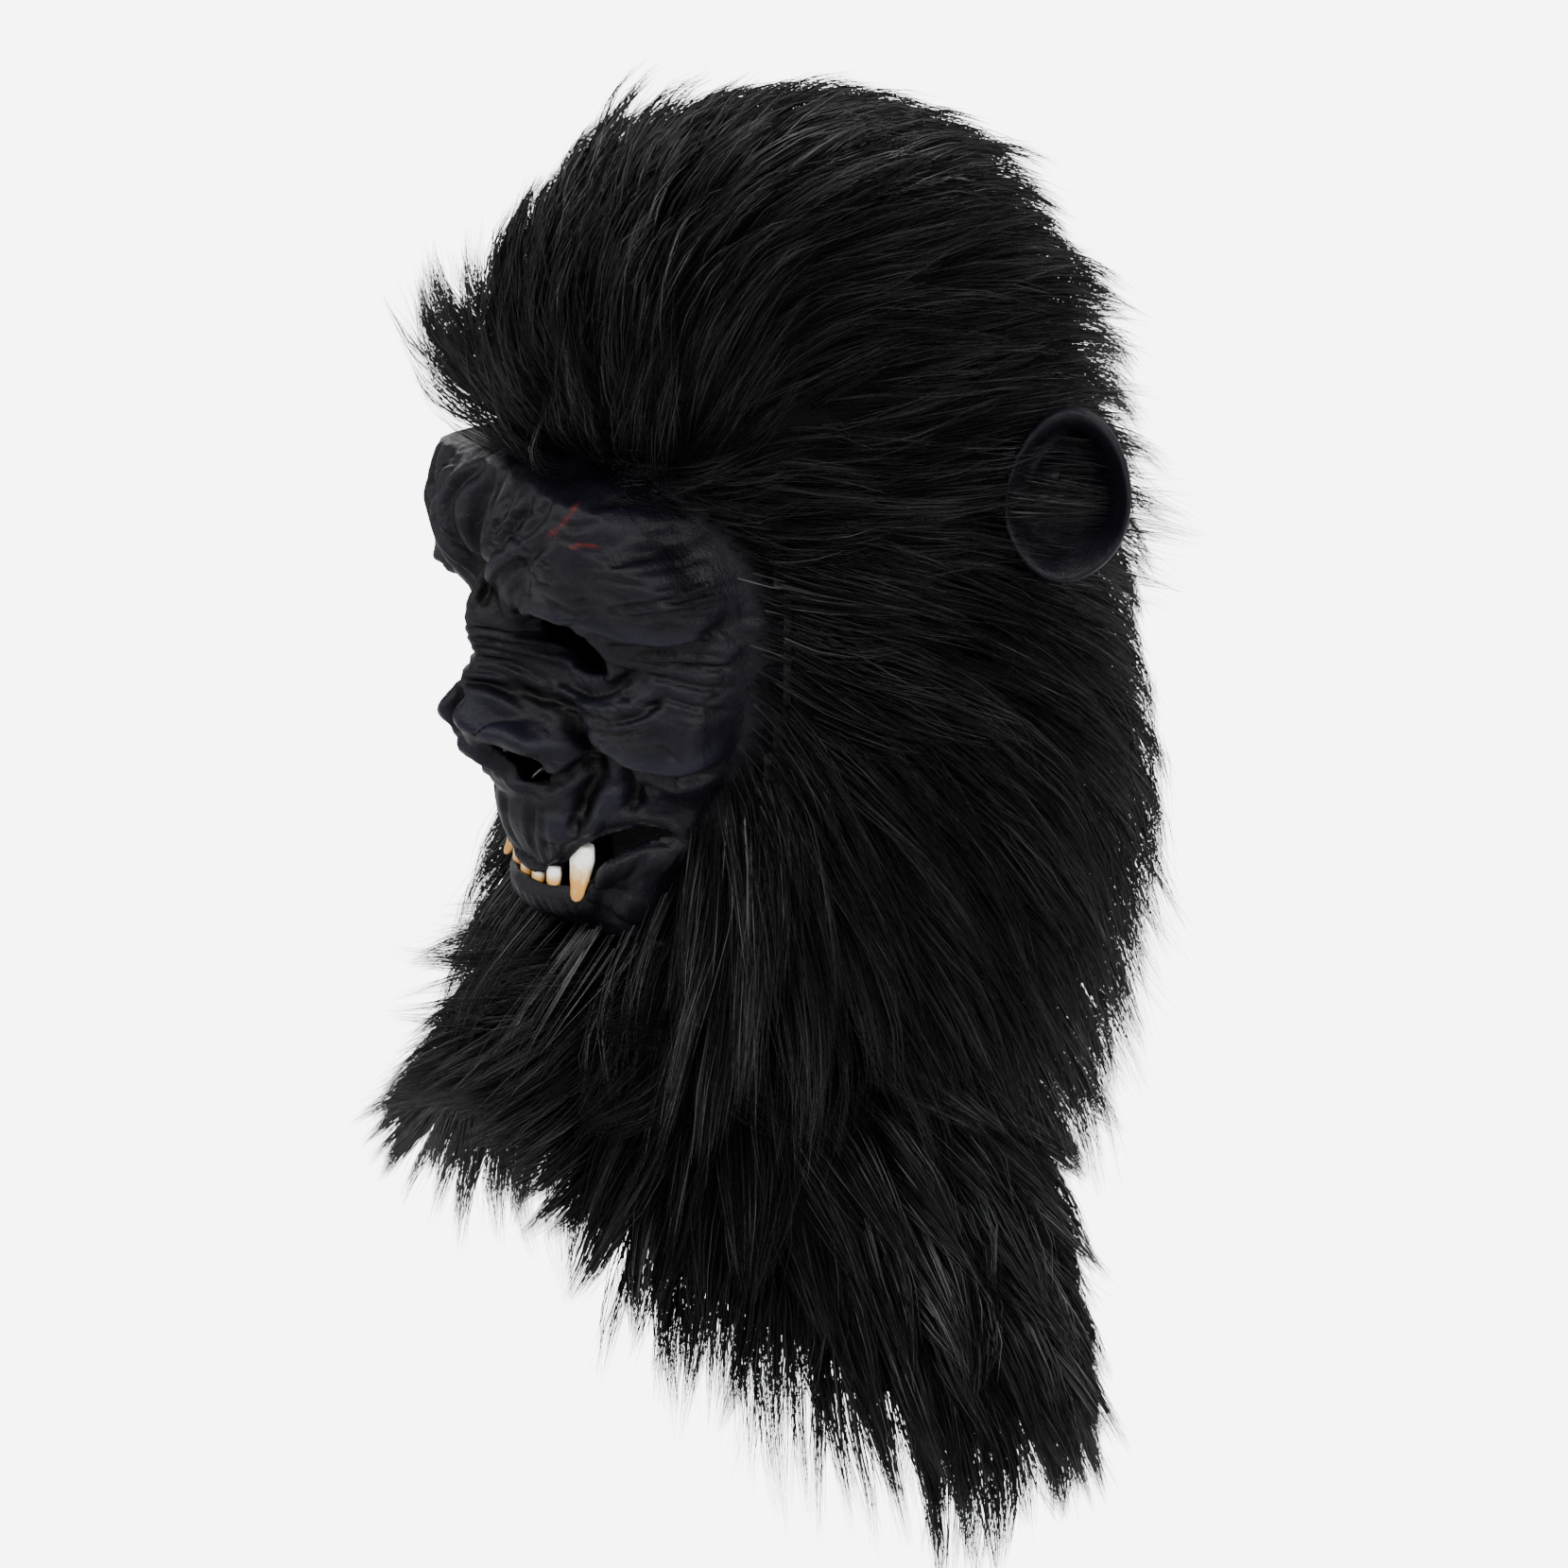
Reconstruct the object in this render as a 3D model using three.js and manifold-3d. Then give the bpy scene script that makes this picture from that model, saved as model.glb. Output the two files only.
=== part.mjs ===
// A gorilla head mask that is pulled over the head: a cast latex face with teeth and ears, a hood of long
// fur cloth, and a flared fur bib that hangs from the hood over neck, shoulders and chest.
// Millimetres, +Z up, the face looks along -Y, and the wearer's left is +X.
// The origin is the inside top of the crown, where the mask rests on a head.
import * as THREE from "three";
import { mergeVertices } from "three/addons/utils/BufferGeometryUtils.js";
import Module from "manifold-3d";

const wasm = await Module();
wasm.setup();

// Head space inside the hood
const headHalfWidth = 88;
const headFront = 98; // from the head's axis to the forehead
const headBack = 105; // from the head's axis to the back of the head
const domeHeight = 125; // from the crown down to the widest level
const jawDrop = 296; // from the crown to the seam under the chin
const napeDrop = 345; // from the crown to the seam at the nape

// Walls and the room between pieces
const clothWall = 2;
const latexWall = 2.4;
const fitGap = 0.3;

// Fur
const pileMass = 16; // the closed mass of underfur on the hood's cloth
const lockLength = 60;
const lockWidth = 36;
const lockRise = 13; // how far a lock's tip stands off the mass
const lockSpacing = 54;
const bibPileMass = 8;
const bibLockLength = 56;
const bibLockRise = 9;

// Bib
const hemHalfWidth = 132;
const hemFront = 106; // from the head's axis forward to the hem
const hemBack = 84; // from the head's axis back to the hem
const hemDropFront = 356;
const hemDropSide = 462;
const hemDropBack = 478;
const hemSweep = 1.6; // how late the hem falls between the chest and the shoulder

// Face
const faceStandoff = 7; // how far the latex stands off the hood's line inside the face opening
const muzzleDepth = 34; // how far the muzzle stands out of the face, which scales every swelling
const faceTuck = 3; // room between the hidden edge of the face and the hood's cloth
const faceOverlap = 7; // degrees of face hidden under the hood's edge, on either side
const browTuck = 10; // face hidden under the hood at the hairline
const chinTuck = 9; // face hidden inside the bib's top edge

// Eye holes, nostrils and mouth
const eyeWidth = 23;
const eyeHeight = 17;
const eyeSpacing = 35.5; // from the middle of the face
const eyeDrop = jawDrop * 0.557;
const nostrilWidth = 12;
const nostrilHeight = 16;
const nostrilSpacing = 14;
const nostrilDrop = jawDrop * 0.713;
const mouthHalfWidth = 48;
const mouthDrop = jawDrop * 0.885; // the middle of the mouth
const mouthCornerRise = 21;
const mouthGap = 4.5; // between the lips at the middle
const mouthCornerGap = 19; // between the lips where the opening is widest

// Teeth
const canineLength = 18;
const canineWidth = 12;
const canineSpacing = 25.5;
const incisorLength = 8;
const incisorWidth = 7.5;
const incisorPitch = 9.5;

// Ears
const earHeight = 64;
const earWidth = 46;
const earWall = 3.2;
const earStandoff = 31; // from the hood's cloth out to the ear's middle
const earDrop = 112;
const earTurn = 119; // degrees round the head from the face
const earFacing = 55; // degrees that the ear's bowl is turned from straight ahead
const earStemRadius = 9;

const DEGREE = Math.PI / 180;
const smooth = (t) => {
  const c = Math.min(1, Math.max(0, t));
  return c * c * (3 - 2 * c);
};
const mix = (a, b, t) => a + (b - a) * t;

const steps = (count, from = 0, to = 1) =>
  Array.from({ length: count + 1 }, (_, i) => mix(from, to, i / count));

// A smooth curve through one column of a table whose first column rises.
function along(rows, key, column, at) {
  const last = rows.length - 1;
  let i = 0;
  while (i < last - 1 && at > rows[i + 1][key]) i += 1;
  const slope = (k) => {
    const a = rows[Math.max(0, k - 1)];
    const b = rows[Math.min(last, k + 1)];
    return (b[column] - a[column]) / (b[key] - a[key]);
  };
  const [p, q] = [rows[i], rows[i + 1]];
  const span = q[key] - p[key];
  const t = Math.min(1, Math.max(0, (at - p[key]) / span));
  const [t2, t3] = [t * t, t * t * t];
  return (
    (2 * t3 - 3 * t2 + 1) * p[column] +
    (t3 - 2 * t2 + t) * span * slope(i) +
    (3 * t2 - 2 * t3) * q[column] +
    (t3 - t2) * span * slope(i + 1)
  );
}

// The hood below its widest level. down is a share of jawDrop, the others of the head space's own sizes.
const headRows = [
  { down: 0.42, width: 1.0, front: 1.0, back: 1.0 },
  { down: 0.57, width: 0.99, front: 0.97, back: 0.99 },
  { down: 0.71, width: 0.94, front: 0.9, back: 0.95 },
  { down: 0.84, width: 0.88, front: 0.8, back: 0.91 },
  { down: 0.98, width: 0.83, front: 0.72, back: 0.82 },
  { down: 1.17, width: 0.83, front: 0.72, back: 0.76 },
];
const domePower = 2.2;
const headPower = 2.25;
const hemPower = 2.6;

// The hood's inside is a superellipse at every level. drop is measured down from the crown.
function headSection(drop) {
  if (drop < domeHeight) {
    const up = 1 - drop / domeHeight;
    const k = Math.pow(1 - Math.pow(up, domePower), 1 / domePower);
    return [headHalfWidth * k, headFront * k, headBack * k];
  }
  const down = headRows[0].down + (drop - domeHeight) / jawDrop;
  return [
    headHalfWidth * along(headRows, "down", "width", down),
    headFront * along(headRows, "down", "front", down),
    headBack * along(headRows, "down", "back", down),
  ];
}
function reach(turn, [width, front, back], power) {
  const depth = Math.cos(turn) > 0 ? front : back;
  const side = Math.pow(Math.abs(Math.sin(turn)) / width, power);
  const fore = Math.pow(Math.abs(Math.cos(turn)) / depth, power);
  return Math.pow(side + fore, -1 / power);
}
// turn is the angle round the head from the face, in radians: 0 at the face, positive towards +X.
const polar = (turn, radius, drop) =>
  new THREE.Vector3(
    radius * Math.sin(turn),
    -radius * Math.cos(turn),
    -drop,
  );
const seamDrop = (turn) => mix(jawDrop, napeDrop, (1 - Math.cos(turn)) / 2);
// The angle from the face, the same on both sides.
const around = (turn) => Math.abs(Math.atan2(Math.sin(turn), Math.cos(turn)));

// Moves a point of a surface along its normal, found from its neighbours.
function offset(surface, a, b, out) {
  const step = 1e-3;
  const p = surface(a, b);
  const du = surface(a + step, b).sub(surface(a - step, b));
  const dv = surface(a, b + step).sub(surface(a, b - step));
  const normal = dv.cross(du).normalize();
  return p.addScaledVector(normal, out);
}

// The hood's inside. share runs from 0 at the crown to 1 at the neck seam, and half of it is the dome.
const DOME_SHARE = 0.5;
function hoodSurface(turn, share) {
  const inDome = share < DOME_SHARE;
  const rise = (share / DOME_SHARE) * (Math.PI / 2);
  const drop = inDome
    ? domeHeight * (1 - Math.cos(rise))
    : mix(domeHeight, seamDrop(turn), (share - DOME_SHARE) / (1 - DOME_SHARE));
  return polar(turn, reach(turn, headSection(drop), headPower), drop);
}
const hood = (turn, share, out) => {
  if (share < 1e-6) return new THREE.Vector3(0, 0, out);
  return offset(hoodSurface, turn, Math.max(share, 0.01), out);
};

// The bib's inside. share runs from 0 at the neck seam to 1 at the hem.
function hemDrop(turn) {
  const quarter = Math.PI / 2;
  const angle = around(turn);
  return angle < quarter
    ? mix(hemDropFront, hemDropSide, Math.pow(angle / quarter, hemSweep))
    : mix(hemDropSide, hemDropBack, Math.sin(angle - quarter));
}
const hemSection = [hemHalfWidth, hemFront, hemBack];
function bibSurface(turn, share) {
  const top = seamDrop(turn) + fitGap;
  const neck = reach(turn, headSection(top), headPower);
  const hem = reach(turn, hemSection, hemPower);
  const flare = Math.sin((Math.PI / 2) * Math.min(share, 1)) * 0.45 + share * 0.55;
  return polar(turn, mix(neck, hem, flare), mix(top, hemDrop(turn), share));
}
const bib = (turn, share, out) => {
  const p = bibSurface(turn, share);
  const radius = Math.hypot(p.x, p.y);
  return p.add(new THREE.Vector3(p.x / radius, p.y / radius, 0).multiplyScalar(out));
};

// The face opening in the hood. down is a share of jawDrop, turn is the angle to its edge in degrees.
const openingRows = [
  { down: 0.325, turn: 30 },
  { down: 0.352, turn: 46 },
  { down: 0.42, turn: 58 },
  { down: 0.53, turn: 62 },
  { down: 0.66, turn: 60 },
  { down: 0.8, turn: 51 },
  { down: 0.92, turn: 44 },
  { down: 1.0, turn: 40 },
];
const openingTop = openingRows[0].down * jawDrop;
const openingArch = 3; // how much higher the opening is at the middle of the forehead
const openingTurn = (drop) =>
  along(openingRows, "down", "turn", Math.max(drop, openingTop) / jawDrop) * DEGREE;
const openingEdge = [
  [0, openingTop - openingArch],
  [openingTurn(openingTop) / 2, openingTop - openingArch],
  ...steps(10, openingTop, jawDrop).map((drop) => [openingTurn(drop), drop]),
  [openingTurn(jawDrop), napeDrop + chinTuck],
];
// How far inside the opening a place lies, measured round the head at its widest. It is below 0 outside.
function edgeRoom(turn, drop) {
  const place = new THREE.Vector2(around(turn) * headHalfWidth, drop);
  let near = Infinity;
  const edge = openingEdge.map(([t, d]) => new THREE.Vector2(t * headHalfWidth, d));
  for (let i = 0; i + 1 < edge.length; i += 1) {
    const run = edge[i + 1].clone().sub(edge[i]);
    const from = place.clone().sub(edge[i]);
    const t = Math.min(1, Math.max(0, from.dot(run) / run.lengthSq()));
    near = Math.min(near, from.addScaledVector(run, -t).length());
  }
  const within = drop > openingTop && around(turn) < openingTurn(drop);
  return within ? near : -near;
}

// The swellings and hollows of the face. across and wide are shares of headHalfWidth, down and tall of
// jawDrop, ahead and aside of muzzleDepth. power sharpens a form above 1 and flattens it below.
const faceForms = [
  { name: "brow", across: 0.5, down: 0.445, wide: 0.42, tall: 0.13, ahead: 0.72, aside: 0.12, power: 1.4 },
  { name: "brow_end", across: 0.86, down: 0.46, wide: 0.24, tall: 0.08, ahead: 0.18, aside: 0.2, power: 1.5 },
  { name: "glabella", across: 0, down: 0.45, wide: 0.36, tall: 0.19, ahead: 0.5, aside: 0, power: 1.3 },
  { name: "nose_root", across: 0, down: 0.6, wide: 0.24, tall: 0.13, ahead: 0.5, aside: 0, power: 1.4 },
  { name: "eye_pit", across: 0.38, down: 0.57, wide: 0.24, tall: 0.05, ahead: -0.12, aside: 0, power: 1.4 },
  { name: "eye_bag", across: 0.48, down: 0.645, wide: 0.3, tall: 0.045, ahead: 0.1, aside: 0.06, power: 1.5 },
  { name: "cheek", across: 0.66, down: 0.675, wide: 0.34, tall: 0.1, ahead: 0.22, aside: 0.2, power: 1.3 },
  { name: "cheek_fold", across: 0.52, down: 0.75, wide: 0.24, tall: 0.06, ahead: -0.2, aside: 0, power: 1.3 },
  { name: "muzzle", across: 0, down: 0.8, wide: 0.52, tall: 0.165, ahead: 0.7, aside: 0, power: 1.25 },
  { name: "jaw_side", across: 0.6, down: 0.85, wide: 0.32, tall: 0.12, ahead: -0.4, aside: 0, power: 1.2 },
  { name: "nose", across: 0, down: 0.68, wide: 0.4, tall: 0.08, ahead: 0.62, aside: 0, power: 1.2 },
  { name: "nose_wing", across: 0.24, down: 0.7, wide: 0.15, tall: 0.04, ahead: 0.26, aside: 0.06, power: 1 },
  { name: "nose_groove", across: 0, down: 0.665, wide: 0.07, tall: 0.05, ahead: -0.14, aside: 0, power: 1.2 },
  { name: "upper_lip", across: 0.2, down: 0.84, wide: 0.34, tall: 0.07, ahead: 0.1, aside: 0, power: 1.2 },
  { name: "lower_lip", across: 0, down: 0.928, wide: 0.56, tall: 0.055, ahead: 0.32, aside: 0, power: 0.9 },
];
const edgeStart = 9; // from the hood's edge in to where the face begins to rise
const edgeEase = 16; // the distance over which it rises

// The face's outside. across runs from -1 to 1 between its hidden side edges, and drop is measured from the
// crown.
const faceTop = openingTop - browTuck;
const faceBottom = jawDrop + chinTuck;
function faceTurn(across, drop) {
  const edge = Math.max(openingTurn(drop), 50 * DEGREE) + faceOverlap * DEGREE;
  return across * edge;
}
function faceSurface(across, drop) {
  const turn = faceTurn(across, drop);
  const base = reach(turn, headSection(drop), headPower);
  const inside =
    smooth((edgeRoom(turn, drop) - edgeStart) / edgeEase) *
    smooth((jawDrop - edgeStart / 2 - drop) / (edgeEase / 2));
  const p = polar(turn, base + mix(-faceTuck, faceStandoff, inside), drop);
  const [ahead, aside] = faceRelief(p.x, drop);
  p.y -= ahead * inside;
  p.x += Math.sign(p.x) * aside * inside;
  return p;
}
function faceRelief(x, drop) {
  let ahead = 0;
  let aside = 0;
  for (const form of faceForms) {
    const dx = (Math.abs(x) / headHalfWidth - form.across) / form.wide;
    const dz = (drop / jawDrop - form.down) / form.tall;
    const far = dx * dx + dz * dz;
    if (far >= 1) continue;
    const swell = Math.pow(1 - far, form.power);
    ahead += form.ahead * muzzleDepth * swell;
    aside += form.aside * muzzleDepth * swell;
  }
  return [ahead, aside];
}

// Solids

function solidFrom(points, triangles) {
  const geometry = new THREE.BufferGeometry();
  geometry.setAttribute("position", new THREE.Float32BufferAttribute(points.flatMap((p) => p.toArray()), 3));
  geometry.setIndex(triangles);
  return solidOf(geometry);
}
function solidOf(geometry) {
  const bare = geometry.clone();
  bare.deleteAttribute("normal");
  bare.deleteAttribute("uv");
  const merged = mergeVertices(bare, 1e-3);
  return new wasm.Manifold(
    new wasm.Mesh({
      numProp: 3,
      vertProperties: new Float32Array(merged.attributes.position.array),
      triVerts: new Uint32Array(merged.index.array),
    }),
  );
}
function meshOf(name, solid, material) {
  const { numProp, numVert, vertProperties, triVerts } = solid.getMesh();
  const position = new Float32Array(numVert * 3);
  for (let i = 0; i < numVert; i += 1)
    position.set(vertProperties.subarray(i * numProp, i * numProp + 3), i * 3);
  const geometry = new THREE.BufferGeometry();
  geometry.setAttribute("position", new THREE.BufferAttribute(position, 3));
  geometry.setIndex(new THREE.BufferAttribute(new Uint32Array(triVerts), 1));
  geometry.computeVertexNormals();
  const mesh = new THREE.Mesh(geometry, material);
  mesh.name = name;
  return mesh;
}

// Two triangles for each cell of a grid whose rows are lists of point numbers. flip turns them round.
function skin(rows, flip, closed) {
  const faces = [];
  const columns = rows[0].length;
  for (let i = 0; i + 1 < rows.length; i += 1)
    for (let j = 0; j < (closed ? columns : columns - 1); j += 1) {
      const k = (j + 1) % columns;
      const [a, b, c, d] = [rows[i][j], rows[i][k], rows[i + 1][k], rows[i + 1][j]];
      faces.push(...(flip ? [a, b, c, a, c, d] : [a, c, b, a, d, c]));
    }
  return faces;
}

// A wall round the head between two surfaces of (turn, share), each a closed ring of points at every level.
// A surface whose first share is 0 closes at the crown, and one without an inner surface is filled.
function ringSolid(outer, inner, shares, columns, capped) {
  const points = [];
  const add = (p) => points.push(p) - 1;
  const ring = (surface, share) =>
    Array.from({ length: columns }, (_, j) => add(surface((j / columns) * 2 * Math.PI, share)));
  const levels = capped ? shares.slice(1) : shares;
  const outside = levels.map((share) => ring(outer, share));
  const faces = skin(outside, false, true);
  const fan = (loop, tip, flip) =>
    loop.forEach((a, j) => {
      const b = loop[(j + 1) % columns];
      faces.push(...(flip ? [tip, b, a] : [tip, a, b]));
    });
  const first = outside[0];
  const last = outside[outside.length - 1];
  if (capped) fan(first, add(outer(0, 0)), false);
  if (inner) {
    const inside = levels.map((share) => ring(inner, share));
    faces.push(...skin(inside, true, true));
    if (capped) fan(inside[0], add(inner(0, 0)), true);
    else faces.push(...skin([inside[0], first], false, true));
    faces.push(...skin([last, inside[inside.length - 1]], false, true));
  } else {
    const middle = (loop) => {
      const sum = loop.reduce((s, i) => s.add(points[i]), new THREE.Vector3());
      return add(sum.divideScalar(loop.length));
    };
    if (!capped) fan(first, middle(first), false);
    fan(last, middle(last), true);
  }
  return solidFrom(points, faces);
}

// A prism that widens from the head's axis through an outline of (turn, drop) points.
const cutterNear = 30;
const cutterFar = 520;
function radialPrism(outline) {
  const flat = outline.map(([turn, drop]) => new THREE.Vector2(turn * headHalfWidth, -drop));
  const clockwise = THREE.ShapeUtils.isClockWise(flat);
  if (clockwise) {
    outline = [...outline].reverse();
    flat.reverse();
  }
  const count = outline.length;
  const points = [cutterNear, cutterFar].flatMap((radius) =>
    outline.map(([turn, drop]) => polar(turn, radius, drop)),
  );
  const caps = THREE.ShapeUtils.triangulateShape(flat, []);
  const faces = caps.flatMap(([a, b, c]) => [a, c, b, a + count, b + count, c + count]);
  for (let i = 0; i < count; i += 1) {
    const j = (i + 1) % count;
    faces.push(i, j, j + count, i, j + count, i + count);
  }
  return solidFrom(points, faces);
}
function faceOpening() {
  const right = openingEdge.slice(1);
  const left = right.map(([turn, drop]) => [-turn, drop]).reverse();
  return radialPrism([...right, ...left]);
}

function sweepBetween(outline, near, far) {
  const geometry = new THREE.ExtrudeGeometry(outline, { depth: far - near, bevelEnabled: false, steps: 1 });
  geometry.translate(0, 0, near);
  return geometry;
}
// A straight hole through the face: an outline drawn as seen from outside, pushed in along a direction.
function holeThrough(outline, x, drop, direction, length) {
  const geometry = sweepBetween(outline, -length, length);
  const z = direction.clone().negate().normalize();
  const xAxis = new THREE.Vector3(0, 0, 1).cross(z).normalize();
  const yAxis = z.clone().cross(xAxis);
  geometry.applyMatrix4(new THREE.Matrix4().makeBasis(xAxis, yAxis, z));
  geometry.translate(x, faceMiddleY(x, drop), -drop);
  return solidOf(geometry);
}
// The face's outside at a place seen from the front.
function faceMiddleY(x, drop) {
  let nearest = faceSurface(0, drop);
  for (const across of steps(80, -1, 1)) {
    const p = faceSurface(across, drop);
    if (Math.abs(p.x - x) < Math.abs(nearest.x - x)) nearest = p;
  }
  return nearest.y;
}
function almond(width, height, sides) {
  const shape = new THREE.Shape();
  for (let i = 0; i < sides; i += 1) {
    const a = (i / sides) * 2 * Math.PI;
    const x = (width / 2) * Math.cos(a);
    const y = (height / 2) * Math.sin(a) * (1 - 0.35 * Math.cos(a) ** 2);
    if (i) shape.lineTo(x, y);
    else shape.moveTo(x, y);
  }
  return shape;
}

// The line between the lips, and the half height of the opening there.
const lipDrop = (x) => mouthDrop - mouthCornerRise * (x / mouthHalfWidth) ** 2;
function lipGap(x) {
  const u = Math.min(1, Math.abs(x) / mouthHalfWidth);
  const open = mix(mouthGap, mouthCornerGap, smooth((u - 0.3) / 0.35));
  return (open / 2) * Math.sqrt(1 - u ** 4);
}
function mouthCutter() {
  const across = steps(12, -mouthHalfWidth, mouthHalfWidth);
  const upper = across.map((x) => new THREE.Vector2(x, -lipDrop(x) + lipGap(x)));
  const lower = across
    .slice(1, -1)
    .reverse()
    .map((x) => new THREE.Vector2(x, -lipDrop(x) - lipGap(x)));
  const geometry = sweepBetween(new THREE.Shape([...upper, ...lower]), headFront * 0.2, headFront * 1.8);
  geometry.rotateX(Math.PI / 2);
  geometry.translate(0, 0, 0);
  return solidOf(geometry);
}

const faceColumns = 28;
const faceLevels = 23;
function latexFace() {
  const levels = steps(faceLevels, faceTop, faceBottom);
  // Columns lie closer together over the nose and muzzle.
  const columns = steps(faceColumns, -1, 1).map((u) => u * (0.62 + 0.38 * Math.abs(u)));
  const points = [];
  const grid = (out) =>
    levels.map((drop) =>
      columns.map((across) => points.push(offset(faceSurface, across, drop, -out)) - 1),
    );
  const outside = grid(0);
  const inside = grid(latexWall);
  const rim = (rows) => [
    ...rows[0],
    ...rows.slice(1, -1).map((row) => row[row.length - 1]),
    ...[...rows[rows.length - 1]].reverse(),
    ...rows.slice(1, -1).map((row) => row[0]).reverse(),
  ];
  const faces = [
    ...skin(outside, false, false),
    ...skin(inside, true, false),
    ...skin([rim(outside), rim(inside)], true, true),
  ];
  return solidFrom(points, faces);
}
function mirrored(make) {
  return [-1, 1].map(make);
}
function faceHoles() {
  const eye = almond(eyeWidth, eyeHeight, 12);
  const nostril = almond(nostrilWidth, nostrilHeight, 10);
  const depth = 22;
  const eyes = mirrored((side) =>
    holeThrough(eye, side * eyeSpacing, eyeDrop, new THREE.Vector3(side * 0.45, -1, 0.1), depth),
  );
  const nostrils = mirrored((side) =>
    holeThrough(nostril, side * nostrilSpacing, nostrilDrop, new THREE.Vector3(side * 0.4, -1, -0.35), depth),
  );
  return [...eyes, ...nostrils, mouthCutter()];
}

// A tooth: a bent cone whose root sits under the upper lip and whose tip lies over the lower lip.
// grow makes the same tooth larger all round, for the pocket that it sits in.
function tooth(x, length, width, grow) {
  const rows = [
    { down: -0.1, wide: 0.9, thick: 0.54 },
    { down: 0.25, wide: 1.0, thick: 0.58 },
    { down: 0.7, wide: 0.68, thick: 0.42 },
    { down: 1.0, wide: 0.14, thick: 0.12 },
  ];
  const sides = 8;
  const rootDrop = lipDrop(x) - lipGap(x);
  const rootY = faceMiddleY(x, rootDrop - 2) + latexWall * 0.55;
  const tipY = faceMiddleY(x, rootDrop + length) - width * 0.16;
  const lean = Math.atan2(x, -rootY);
  const points = [];
  const rings = rows.map((row) => {
    const drop = rootDrop + row.down * length + Math.sign(row.down - 0.5) * grow;
    const y = Math.min(mix(rootY, tipY, Math.max(0, row.down)), mix(rootY, tipY, row.down));
    return Array.from({ length: sides }, (_, k) => {
      const a = (k / sides) * 2 * Math.PI;
      const wide = (width / 2) * row.wide + grow;
      const thick = (width / 2) * row.thick + grow;
      const p = new THREE.Vector3(wide * Math.cos(a), thick * Math.sin(a), 0);
      p.applyAxisAngle(new THREE.Vector3(0, 0, 1), lean);
      return points.push(p.add(new THREE.Vector3(x, y, -drop))) - 1;
    });
  });
  const faces = skin(rings, false, true);
  const last = rings.length - 1;
  for (let k = 1; k + 1 < sides; k += 1)
    faces.push(rings[0][0], rings[0][k], rings[0][k + 1], rings[last][0], rings[last][k + 1], rings[last][k]);
  return solidFrom(points, faces);
}
const teeth = [
  ...mirrored((side) => ({
    name: side > 0 ? "canine_left" : "canine_right",
    x: side * canineSpacing,
    length: canineLength,
    width: canineWidth,
  })),
  ...[-1.5, -0.5, 0.5, 1.5].map((place, i) => ({
    name: "incisor_" + (i + 1),
    x: place * incisorPitch,
    length: incisorLength,
    width: incisorWidth,
  })),
];

// An ear: a bowl with a rolled rim. far is the share from its middle to its edge, front and back are heights
// along the way it faces, as shares of earWidth.
const earRows = [
  { far: 0.0, front: -0.2, back: -0.3 },
  { far: 0.3, front: -0.19, back: -0.28 },
  { far: 0.5, front: -0.06, back: -0.17 },
  { far: 0.64, front: 0.03, back: -0.08 },
  { far: 0.78, front: -0.03, back: -0.11 },
  { far: 0.92, front: 0.08, back: -0.02 },
  { far: 1.0, front: 0.03, back: 0.0 },
];
const earSides = 14;
const earTurnRad = earTurn * DEGREE;
const earShare = DOME_SHARE * (2 / Math.PI) * Math.acos(Math.max(0, 1 - earDrop / domeHeight));
function ear(side, grow) {
  const seat = hood(side * earTurnRad, earShare, clothWall + fitGap);
  const outward = hood(side * earTurnRad, earShare, clothWall + fitGap + 1).sub(seat);
  const middle = seat.clone().addScaledVector(outward, earStandoff);
  const facing = new THREE.Vector3(side * Math.sin(earFacing * DEGREE), -Math.cos(earFacing * DEGREE), 0);
  const up = new THREE.Vector3(0, 0.08, 1).normalize();
  const across = up.clone().cross(facing).normalize();
  const points = [];
  const place = (a, far, height, spread) => {
    const narrow = 1 - 0.12 * Math.sin(a);
    const u = ((far * earWidth) / 2 + spread) * Math.cos(a) * narrow;
    const v = ((far * earHeight) / 2 + spread) * Math.sin(a);
    return middle
      .clone()
      .addScaledVector(across, u)
      .addScaledVector(up, v)
      .addScaledVector(facing, height);
  };
  const face = (column, shift) =>
    earRows.slice(1).map((row) =>
      Array.from({ length: earSides }, (_, k) => {
        const spread = column === "back" || row.far === 1 ? grow : 0;
        const wall = column === "back" ? -earWall * 0.3 : 0;
        const a = (k / earSides) * 2 * Math.PI;
        return points.push(place(a, row.far, row[column] * earWidth + wall + shift, spread)) - 1;
      }),
    );
  const front = face("front", grow);
  const back = face("back", -grow);
  const faces = [...skin(front, false, true), ...skin(back, true, true)];
  faces.push(...skin([front[front.length - 1], back[back.length - 1]], false, true));
  const tips = [
    [front[0], points.push(place(0, 0, earRows[0].front * earWidth + grow, 0)) - 1, false],
    [back[0], points.push(place(0, 0, earRows[0].back * earWidth - earWall * 0.3 - grow, 0)) - 1, true],
  ];
  for (const [loop, tip, flip] of tips)
    loop.forEach((a, k) => {
      const b = loop[(k + 1) % earSides];
      faces.push(...(flip ? [tip, b, a] : [tip, a, b]));
    });
  let bowl = solidFrom(points, faces);
  if (bowl.volume() < 0) throw new Error("ear is inside out");
  const stemBack = middle.clone().addScaledVector(facing, earRows[1].back * earWidth);
  const root = seat.clone().addScaledVector(outward, -clothWall * 3);
  bowl = bowl.add(rod(root, stemBack, earStemRadius + grow));
  return bowl;
}
function rod(from, to, radius) {
  const geometry = new THREE.CylinderGeometry(radius, radius, from.distanceTo(to), 12);
  const way = to.clone().sub(from).normalize();
  geometry.applyQuaternion(new THREE.Quaternion().setFromUnitVectors(new THREE.Vector3(0, 1, 0), way));
  geometry.translate(...from.clone().add(to).divideScalar(2).toArray());
  return solidOf(geometry);
}

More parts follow.
